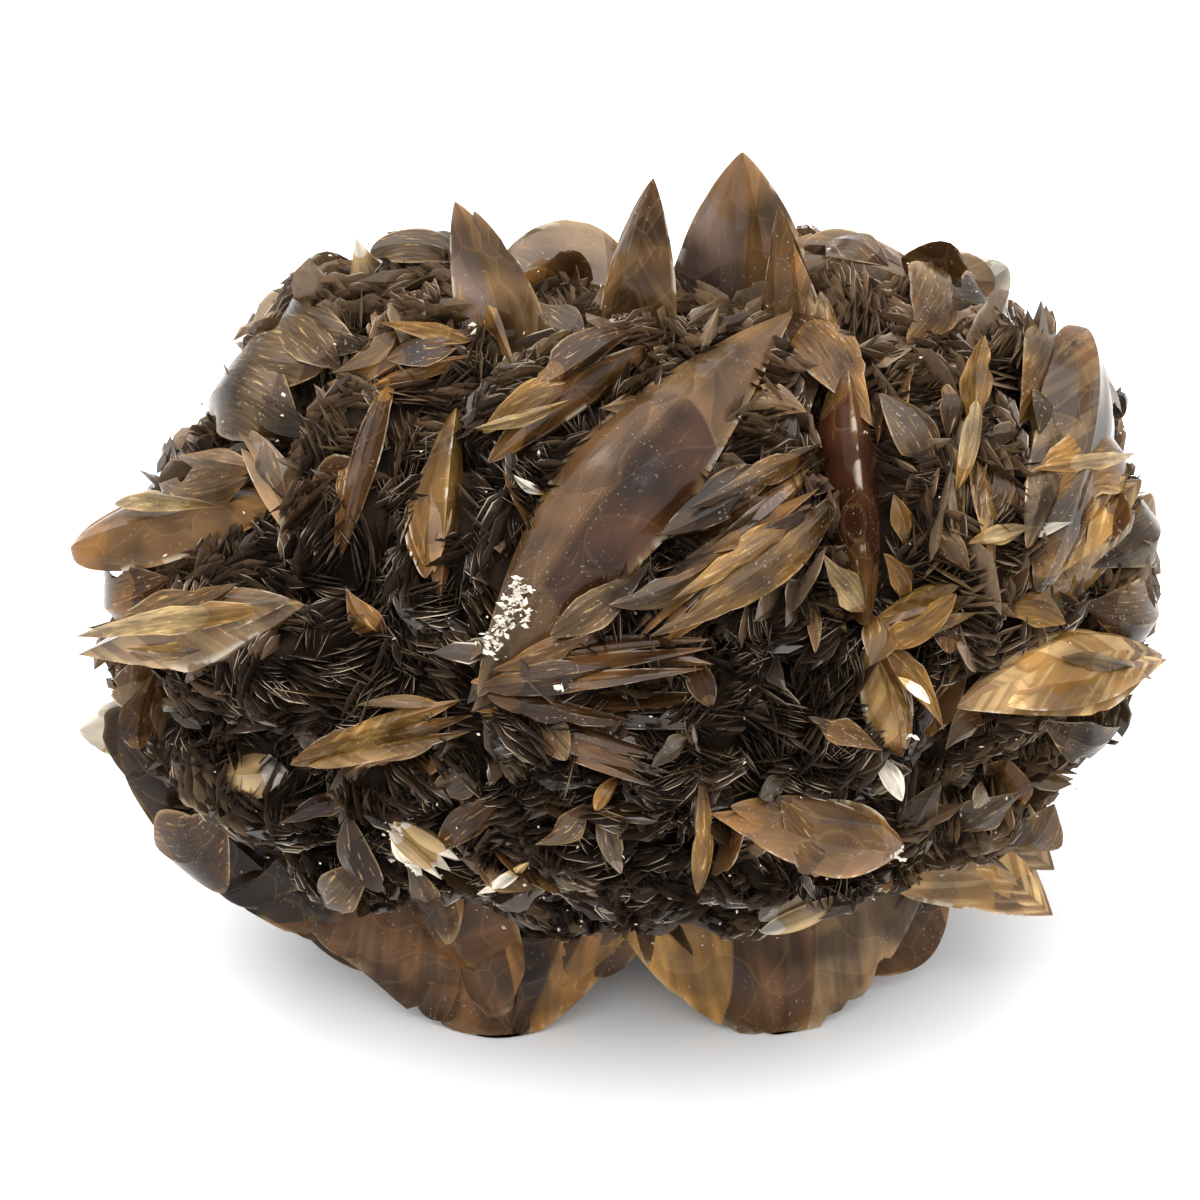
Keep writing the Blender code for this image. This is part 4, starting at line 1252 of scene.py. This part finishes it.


# The finish of the lenses in the fans: four tints, the last a painted glint on their rims, how see-through
# they are and how rough
FineLook = namedtuple("FineLook", "dark middle pale rim clear rough")
FINE_LOOKS = {
    "fine_selenite": FineLook(
        colour(0.010, 0.0066, 0.005), colour(0.062, 0.040, 0.027), colour(0.20, 0.125, 0.070),
        colour(0.60, 0.48, 0.35), 0.0, 0.12
    ),
    "leaf_selenite": FineLook(
        colour(0.012, 0.0066, 0.0033), colour(0.058, 0.031, 0.015), colour(0.21, 0.13, 0.066),
        colour(0.46, 0.35, 0.22), 0.3, 0.10
    ),
    "plate_selenite": FineLook(
        colour(0.030, 0.019, 0.012), colour(0.108, 0.070, 0.042), colour(0.25, 0.172, 0.105),
        colour(0.36, 0.27, 0.18), 0.15, 0.14
    ),
}
FINE_STOPS = (0.1, 0.6, 1.2 / 1.25)
FINE_SHINE = 0.3


def fine_selenite(name, look, groups):
    """The fine blades: dark between, with thin pale rims as painted glints, paler away from the front, partly
    as painted light.
    """
    material, tree, shader, position = new_material(name)
    outer = use_group(tree, groups["paleness"], {"Object": position})["Paleness"]
    share = plus(tree, times(tree, attribute(tree, "shade"), 0.85), times(tree, outer, 0.4))
    ramp = put(tree, "ShaderNodeValToRGB", {0: share})
    stops = ramp.color_ramp.elements
    first, second, third = FINE_STOPS
    stops[0].position, stops[0].color = first, look.dark
    stops[1].position, stops[1].color = third, look.pale
    stops.new(second).color = look.middle
    grain = noise_of(tree, position, 1400.0, 0.0)
    tint = blend_colours(tree, times(tree, grain, 0.5), ramp.outputs[0], look.dark)
    # Painted glints: pale rims on the blades where the noise lets them catch the light
    edge = remap(tree, attribute(tree, "rim"), 0.8, 1.0)
    lit = remap(tree, noise_of(tree, position, 230.0, 0.0), 0.5, 0.62, 0.1, 1.0)
    tint = blend_colours(tree, times(tree, edge, lit), tint, look.rim)
    rough = evenly(tree, grain, 0.3, 0.7, look.rough * 0.6, look.rough * 1.6)
    values = {"IOR": SELENITE_IOR, "Specular IOR Level": FINE_SHINE, "Transmission Weight": look.clear}
    set_surface(tree, shader, tint, rough, values)
    return material


def shell_painted_shade(groups):
    """The dull ground between the blades, nearly black at the front and brown away from it: its darkness is
    painted shade in the gaps between the blades.
    """
    material, tree, shader, position = new_material("dark_ground")
    mottle = noise_of(tree, position, 300.0, 2.0, 0.6)
    outer = use_group(tree, groups["paleness"], {"Object": position})["Paleness"]
    dark = blend_colours(tree, mottle, colour(0.006, 0.004, 0.003), colour(0.030, 0.020, 0.013))
    brown = blend_colours(tree, mottle, colour(0.010, 0.007, 0.0045), colour(0.046, 0.030, 0.018))
    tint = blend_colours(tree, outer, dark, brown)
    rough = remap(tree, mottle, 0.3, 0.7, 0.75, 0.95)
    set_surface(tree, shader, tint, rough, {"Specular IOR Level": 0.03}, (1.0, 0.0012, mottle))
    return material


def plain_pattern(name, first, second, scale, rough):
    """A mottled two-tone material, for the crumbs and the floor."""
    material, tree, shader, position = new_material(name)
    mottle = noise_of(tree, position, scale, 4.0, 0.6)
    tint = blend_colours(tree, mottle, first, second)
    rough = remap(tree, mottle, 0.3, 0.7, rough * 0.9, min(1.0, rough * 1.1))
    set_surface(tree, shader, tint, rough, {}, (0.3, 0.0003, mottle))
    return material


HONEY = colour(0.28, 0.132, 0.036)
GOLD = colour(0.42, 0.212, 0.052)
BROWN = colour(0.095, 0.042, 0.014)
DARK = colour(0.028, 0.014, 0.007)
PURPLE = colour(0.168, 0.085, 0.036)
TAN = colour(0.31, 0.175, 0.075)
ORANGE = colour(0.185, 0.095, 0.036)
MAUVE = colour(0.40, 0.28, 0.23)
SMOKE = colour(0.18, 0.108, 0.052)
GREY = colour(0.27, 0.20, 0.13)
STRAW = colour(0.58, 0.385, 0.165)
RED = colour(0.050, 0.017, 0.008)

LOOKS = {
    "purple_lens": Look(
        colour(0.15, 0.084, 0.034), PURPLE, colour(0.22, 0.124, 0.056), 0.21, 0.66, 0.05,
        lean_tint=colour(0.056, 0.020, 0.009), left_share=0.9, density=120.0, chipped=0.4, shine=0.03
    ),
    "brown_blade": Look(dimmed(HONEY, 0.8), BROWN, BROWN, clear=0.35),
    "tan_blade": Look(
        dimmed(ORANGE, 0.7), dimmed(TAN, 0.5), dimmed(TAN, 0.62), 0.35, 0.6, feather=0.35, clear=0.25
    ),
    "straw_blade": Look(dimmed(ORANGE, 0.8), dimmed(GOLD, 0.75), TAN, 0.25, feather=0.7, clear=0.25),
    "cream_blade": Look(CREAM, STRAW, CREAM, clear=0.5, chipped=1.0),
}
THIN = Look(None, None, None, density=0, clear=0.2, shine=0.1)
SIDE = THIN._replace(clear=0.15, shine=0.06, rough=0.3)
PLATE = THIN._replace(
    tip_border=0.12, root_border=0.85, clear=0.3, turn=math.pi / 2, spacing=2.4, rough=0.2, grain=0.5,
    cell=7.0, shine=0.04, chipped=0.1
)
LEAF = THIN._replace(clear=0.22, rough=0.2, chipped=0.2, grain=0.5, spacing=0.42, shine=0.07, cell=0)
for name, base, tip, middle, root, other in (
    ("honey_blade", THIN, dimmed(HONEY, 0.7), dimmed(ORANGE, 0.8), dimmed(HONEY, 0.7), {}),
    (
        "gold_blade", THIN, dimmed(GOLD, 0.5), dimmed(GOLD, 0.36), dimmed(HONEY, 0.6),
        {"feather": 0.2, "shine": 0.12}
    ),
    ("orange_blade", THIN, BROWN, dimmed(ORANGE, 0.6), dimmed(HONEY, 0.45), {"feather": 0.1, "clear": 0.15}),
    ("wing_blade", THIN, BROWN, dimmed(ORANGE, 0.34), dimmed(HONEY, 0.28), {"feather": 0.1, "clear": 0.15}),
    ("needle_blade", THIN, dimmed(GOLD, 0.35), dimmed(GOLD, 0.22), dimmed(HONEY, 0.4), {}),
    ("red_blade", THIN, BROWN, RED, BROWN, {"shine": 0.03, "clear": 0.3}),
    (
        "mauve_blade", THIN, ORANGE, ORANGE, HONEY,
        {"lean_tint": dimmed(MAUVE, 0.44), "left_share": 0.85, "clear": 0.3}
    ),
    ("smoky_blade", THIN, SMOKE, SMOKE, BROWN, {"shine": 0.22}),
    ("brown_side", SIDE, dimmed(HONEY, 0.6), BROWN, BROWN, {}),
    ("smoky_side", SIDE, SMOKE, SMOKE, BROWN, {}),
    # The feet's plates are kept dark, partly their own brown and partly painted shade under the ball; the
    # outer left foot's dark tint is painted shade
    ("plate", PLATE, BROWN, BROWN, HONEY, {}),
    ("dark_plate", PLATE, DARK, DARK, BROWN, {}),
    ("gold_plate", PLATE, dimmed(GOLD, 1.15), BROWN, SMOKE, {"tip_border": 0.34, "root_border": 0.6}),
):
    LOOKS[name] = base._replace(tip=tip, middle=middle, root=root, **other)

LEAF_DEPTH = 0.42
CREAM_DEPTH = 0.85
for name, tints in {
    "gold": (GOLD, GOLD, HONEY), "honey": (HONEY, HONEY, BROWN), "brown": (HONEY, BROWN, BROWN),
    "red": (BROWN, RED, BROWN), "orange": (HONEY, ORANGE, HONEY), "tan": (TAN, TAN, HONEY),
    "straw": (STRAW, STRAW, GOLD), "cream": (CREAM, CREAM, STRAW), "smoky": (SMOKE, SMOKE, BROWN),
    "grey": (GREY, GREY, SMOKE), "mauve": (MAUVE, SMOKE, BROWN),
}.items():
    tip, middle, root = (dimmed(tint, CREAM_DEPTH if name == "cream" else LEAF_DEPTH) for tint in tints)
    LOOKS[f"{name}_leaf"] = LEAF._replace(tip=tip, middle=middle, root=root)

# Which large blades have which look
WEARERS = {
    # front_low_sliver's cream is partly a painted glint
    "cream_blade": "top_splinter top_right_nub front_low_sliver front_cream_chip front_cream_sliver "
                   "left_cream_nub",
    "mauve_blade": "top_left_spear top_pyramid",
    "smoky_blade": "top_dome top_back_plate left_upper_keel right_back_wing",
    "orange_blade": "top_middle_spear",
    "honey_blade": "top_right_spear front_pale_scale front_gold_spar front_clear_scale left_blunt_spear",
    "straw_blade": "top_right_plate front_twin_left right_great_spear right_low_wing right_low_spear",
    "purple_lens": "front_great_lens",
    "brown_blade": "front_crescent front_arch front_left_strap front_brown_spar front_fan_upper "
                   "front_fan_middle front_fan_lower",
    "needle_blade": "front_gold_needle",
    "red_blade": "front_red_keel",
    "gold_blade": "front_gold_facet front_gold_wing front_left_leaf right_inner_leaf",
    "tan_blade": "left_great_spear",
    "wing_blade": "right_great_wing",
    "plate": "left_foot left_foot_inner right_foot_outer",
    "dark_plate": "left_foot_outer",
    "gold_plate": "right_foot",
}
LOOK_OF = {name: look for look, names in WEARERS.items() for name in names.split()}

# The blades that grew as bundles of narrow ones, each with how many
BUNDLES = {
    "front_gold_spar": 5, "front_brown_spar": 4, "front_fan_upper": 5, "front_fan_middle": 5,
    "front_fan_lower": 5, "front_arch": 3, "front_left_leaf": 3, "front_twin_left": 3, "front_gold_wing": 3,
    "right_inner_leaf": 2, "right_low_wing": 3, "left_upper_keel": 3, "front_cream_chip": 3,
    "front_low_sliver": 2, "top_right_plate": 2,
}

# The blades with bare smooth faces
SMOOTH = (
    "front_great_lens", "front_red_keel", "top_pyramid", "top_middle_spear", "front_gold_needle", "top_dome"
)

# How wide a finished blade is against its solid, where leaves lie over its sides
SLIMMER = {
    "front_great_lens": 1.04, "front_red_keel": 0.8, "left_foot_outer": 0.75, "front_crescent": 0.5,
    "front_arch": 0.6, "front_left_strap": 0.5, "front_pale_scale": 0.75, "front_gold_needle": 0.65,
    "left_foot_inner": 0.8, "front_fan_upper": 0.55, "front_fan_middle": 0.55, "front_fan_lower": 0.6,
    "front_gold_spar": 0.7, "front_brown_spar": 0.7, "left_upper_keel": 0.6, "front_gold_facet": 0.8,
    "right_great_wing": 0.62, "front_clear_scale": 0.8, "front_left_leaf": 0.7, "front_cream_chip": 0.6,
}

# How far a blade's sides are from a curve, 0, to straight, 1
STRAIGHT = {
    "front_great_lens": 0.6, "front_gold_needle": 0.6, "top_left_spear": 0.8, "top_middle_spear": 0.1,
    "top_pyramid": 0.35, "top_right_spear": 0.7, "left_great_spear": 0.7, "right_great_spear": 0.5,
    "right_low_spear": 0.8,
}

# The plates that carry the cluster, each with how many upright bars stand on it
STRAPS = {
    "left_foot": 6, "left_foot_outer": 4, "left_foot_inner": 2, "right_foot": 0, "right_foot_outer": 0
}


# Pieces


# The shell under the fans, dark as painted shade in the gaps between the blades
def dark_shell(material):
    directions, faces = ball_of_triangles(SHELL_FINENESS)
    points, _ = shell_points(directions)
    mesh = bpy.data.meshes.new("dark_shell")
    mesh.from_pydata(placed(points - directions * 0.3).tolist(), [], faces)
    mesh.shade_smooth()
    return new_piece("dark_shell", mesh, material)


# How finely each kind of lens is cut, and how rough its surface and rims are
FORMS = {
    "single": Form(40, 9, chips=0.08, terrace=0.12),
    "smooth": Form(40, 9, chips=0.02, terrace=0.12),
    "beside": Form(22, 5, terrace=0.08),
    "bundled": Form(30, 5, terrace=0.08),
    "foot": Form(60, 14, chips=0.10, terrace=0.08, ribs=0.3),
    "beside foot": Form(40, 8, chips=0.10, terrace=0.08),
    "strap": Form(34, 8, crown=0.15, chips=0.12),
    "side": Form(22, 5, chips=0.1, terrace=0.05),
    "rosette": Form(14, 3, chips=0.3, terrace=0.05),
    "leaf": Form(24, 4, crown=0.1, chips=0.34, terrace=0.05),
}
PLAIN_SHADE = 0.5
TWIN_WIDTH = 6.0
TWINS = 2


def large_blades(finishes):
    for i, blade in enumerate(LARGE_BLADES):
        rng = random.Random(100 + i)
        shells = Shells()
        name = blade.name
        blade = blade._replace(width=blade.width * SLIMMER.get(name, 1.0))
        if name in BUNDLES:
            for part in bundle(blade, BUNDLES[name], rng):
                shells.add(*lens_points(part, FORMS["bundled"], rng), rng.random())
        elif name in STRAPS:
            shells.add(*lens_points(blade, FORMS["foot"], rng), PLAIN_SHADE)
            for _ in range(TWINS):
                shells.add(*lens_points(beside(blade, rng), FORMS["beside foot"], rng), rng.random())
            for strap in straps(blade, STRAPS[name], rng):
                shells.add(*lens_points(strap, FORMS["strap"], rng), rng.random())
        else:
            form = FORMS["smooth" if name in SMOOTH else "single"]
            form = form._replace(straight=STRAIGHT.get(name, 0.0))
            shells.add(*lens_points(blade, form, rng), PLAIN_SHADE)
            for _ in range(TWINS if blade.width > TWIN_WIDTH and name not in SMOOTH else 0):
                shells.add(*lens_points(beside(blade, rng), FORMS["beside"], rng), rng.random())
        yield new_piece(name, shells.mesh(name), finishes[LOOK_OF[name]])


def crumb(place, size, rng):
    """A jagged chip: eight triangles between six uneven corners."""
    turn = Matrix.Rotation(rng.uniform(0, 2 * math.pi), 3, Vector(rng.gauss(0, 1) for _ in range(3)))
    corners = []
    for axis, reach in enumerate((0.5, 0.32, 0.16)):
        for way in (1, -1):
            corner = Vector(rng.uniform(-0.12, 0.12) for _ in range(3))
            corner[axis] = way * reach * rng.uniform(0.6, 1.3)
            corners.append(place + turn @ corner * size)
    faces = [(x, y, z) for x in (0, 1) for y in (2, 3) for z in (4, 5)]
    faces = [face if sum(face) % 2 else face[::-1] for face in faces]
    flat = np.zeros((6, 3))
    return np.array(corners), faces, flat, flat, rng.random()


CRUMB_SIZES = (0.3, 1.3)
FLECK_SIZES = (0.2, 0.7)
FLECK_LIFTS = (0.8, 3.0)


def crumbs(material):
    """White crumbs on the broken edges, and bright flecks all over the ball that are partly dust and partly
    painted glints.
    """
    rng = random.Random(9)
    shells = Shells()
    for cluster in BROKEN_EDGES_AND_GLINTS:
        middle = on_front(cluster.pixel, cluster.lift)
        for _ in range(cluster.count):
            place = middle + Vector(rng.gauss(0, cluster.spread / 2) for _ in range(3))
            shells.add(*crumb(place, rng.uniform(*CRUMB_SIZES), rng))
    for direction in spread_directions(FLECKS, rng, 0.2):
        place = surface_point(direction) + direction * rng.uniform(*FLECK_LIFTS)
        shells.add(*crumb(place, rng.uniform(*FLECK_SIZES), rng))
    return new_piece("white_crumbs", shells.mesh("white_crumbs"), material)


def collected_blades(name, blades, finish, form, slim=1.0):
    """Many blades of one kind as one piece, their sides more or less straight and bent either way."""
    shells = Shells()
    for i, blade in enumerate(blades):
        rng = random.Random(500 + i)
        blade = blade._replace(thick=blade.thick * slim)
        straight = rng.uniform(0.0, 0.9)
        sickle = rng.uniform(-0.3, 0.3) * blade.width
        shape = lens_points(blade, form._replace(straight=straight, sickle=sickle), rng)
        shells.add(*shape, rng.random())
    return new_piece(name, shells.mesh(name), finish)


def floor():
    half = 3.0
    mesh = bpy.data.meshes.new("floor")
    corners = [(-half, -half, 0), (half, -half, 0), (half, half, 0), (-half, half, 0)]
    mesh.from_pydata(corners, [], [(0, 1, 2, 3)])
    paper = plain_pattern("white_paper", colour(0.9, 0.9, 0.9), colour(0.86, 0.86, 0.86), 60.0, 0.9)
    new_piece("floor", mesh, paper)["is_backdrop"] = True


SENSOR = 36.0
HALF_VIEW_MM = 72.9
SHIFT = (-0.025, -0.0025)


def camera():
    made = bpy.data.cameras.new("camera")
    made.sensor_width = SENSOR
    made.lens = SENSOR / 2 * CAMERA_DISTANCE / HALF_VIEW_MM
    made.shift_x, made.shift_y = SHIFT
    made.clip_start = 0.01
    holder = bpy.data.objects.new("camera", made)
    holder.location = (BODY_CENTRE + TO_CAMERA * CAMERA_DISTANCE) * MM
    holder.rotation_euler = (math.pi / 2 - CAMERA_ELEVATION, 0, 0)
    bpy.context.scene.collection.objects.link(holder)
    bpy.context.scene.camera = holder


def soft_light(name, place, aim, size, power):
    made = bpy.data.lights.new(name, "AREA")
    made.energy, made.size = power, size
    holder = bpy.data.objects.new(name, made)
    holder.location = place
    holder.rotation_euler = (Vector(aim) - Vector(place)).to_track_quat("-Z", "Y").to_euler()
    bpy.context.scene.collection.objects.link(holder)


def studio():
    """A white room, brighter overhead, that the camera sees as plain white, and one soft light from above."""
    world = bpy.data.worlds.new("studio")
    world.use_nodes = True
    tree = world.node_tree
    lit = tree.nodes["Background"]
    lit.inputs["Color"].default_value = (1, 1, 1, 1)
    upward = parted(tree, put(tree, "ShaderNodeTexCoord").outputs["Generated"])[2]
    tree.links.new(remap(tree, upward, 0.0, 0.9, 1.15, 1.6), lit.inputs["Strength"])
    seen = put(tree, "ShaderNodeBackground", {"Color": (1, 1, 1, 1), "Strength": 1.0})
    to_camera = put(tree, "ShaderNodeLightPath").outputs["Is Camera Ray"]
    mixed = put(tree, "ShaderNodeMixShader", {0: to_camera, 1: lit.outputs[0], 2: seen.outputs[0]})
    tree.links.new(mixed.outputs[0], tree.nodes["World Output"].inputs["Surface"])
    bpy.context.scene.world = world
    bpy.context.scene.view_settings.view_transform = "Standard"
    soft_light("key", (-0.10, 0.0, 1.0), (0, 0, 0.05), 1.2, 16.5)


# The kinds of fans: the lenses' length, width and thickness in mm, their rings and seed, their finish, the
# first seed of the fans, and the fans' own inputs where they differ
Fans = namedtuple("Fans", "piece lenses size rings lens_seed finish first_seed inputs")
FANS = (
    Fans("fine_blades", "small_lenses", (4.6, 1.6, 0.26), 2, 31, "fine_selenite", 40, {"Lift": 0.0009}),
    Fans("leaves", "leaf_lenses", (6.8, 2.2, 0.42), 4, 32, "leaf_selenite", 80, {
        "Lift": 0.0009, "Fan Spacing": 0.0046, "Fewest Blades": 1, "Most Blades": 5, "Pitch": 0.0006,
        "Splay": 0.14, "Splay Jitter": 0.2, "Lean": 0.5, "Inner Share": 0.6, "Outer Share": 0.6,
    }),
    Fans("plates", "plate_lenses", (9.0, 4.6, 1.1), 7, 33, "plate_selenite", 120, {
        "Lift": -0.0004, "Fan Spacing": 0.0062, "Fewest Blades": 1, "Most Blades": 3, "Pitch": 0.0013,
        "Splay": 0.4, "Splay Jitter": 0.6, "Lean": 0.7, "Inner Share": 0.03, "Outer Share": 1.0,
    }),
)


def skin(groups):
    """The fans of every kind on every patch."""
    finishes = {name: fine_selenite(name, look, groups) for name, look in FINE_LOOKS.items()}
    tree = fan_tree()
    lenses = {kind.piece: lens_kinds(kind.lenses, *kind.size, kind.rings, kind.lens_seed) for kind in FANS}
    for i, (name, patch) in enumerate(growing_patches()):
        for kind in FANS:
            values = {
                "Lenses": lenses[kind.piece], "Material": finishes[kind.finish], "Seed": kind.first_seed + i
            }
            yield grow_fans(patch, tree, values | kind.inputs, f"{kind.piece}_{name}")
        bpy.data.objects.remove(patch)


def main():
    groups = {
        "striations": striations_group(), "zones": zones_group(), "wear": wear_group(),
        "paleness": paleness_group(), "veils": veils_group(), "feathers": feathers_group(),
    }
    finishes = {name: selenite(name, look, groups) for name, look in LOOKS.items()}
    camera()
    studio()
    floor()
    dark, pale = finishes["brown_side"], finishes["smoky_side"]
    pieces = [dark_shell(shell_painted_shade(groups))]
    pieces += large_blades(finishes)
    pieces.append(collected_blades("side_blades", side_blades(), dark, FORMS["side"]))
    rosettes = list(rosette_blades())
    pieces.append(collected_blades("rosettes_dark", rosettes[::2], dark, FORMS["rosette"], 0.5))
    pieces.append(collected_blades("rosettes_pale", rosettes[1::2], pale, FORMS["rosette"], 0.5))
    for kind, blades in leaves_by_finish().items():
        name = f"{kind}_leaf"
        pieces.append(collected_blades(f"front_{name}", blades, finishes[name], FORMS["leaf"]))
    white = plain_pattern("white_crumbs", colour(0.80, 0.76, 0.68), colour(0.42, 0.34, 0.25), 700.0, 0.6)
    pieces.append(crumbs(white))
    pieces += skin(groups)
    for piece in pieces:
        belongs(piece)


main()

boxes = {"cad": cad_box, "visual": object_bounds()}
{name: [list(map(float, corner)) for corner in box] for name, box in boxes.items()}
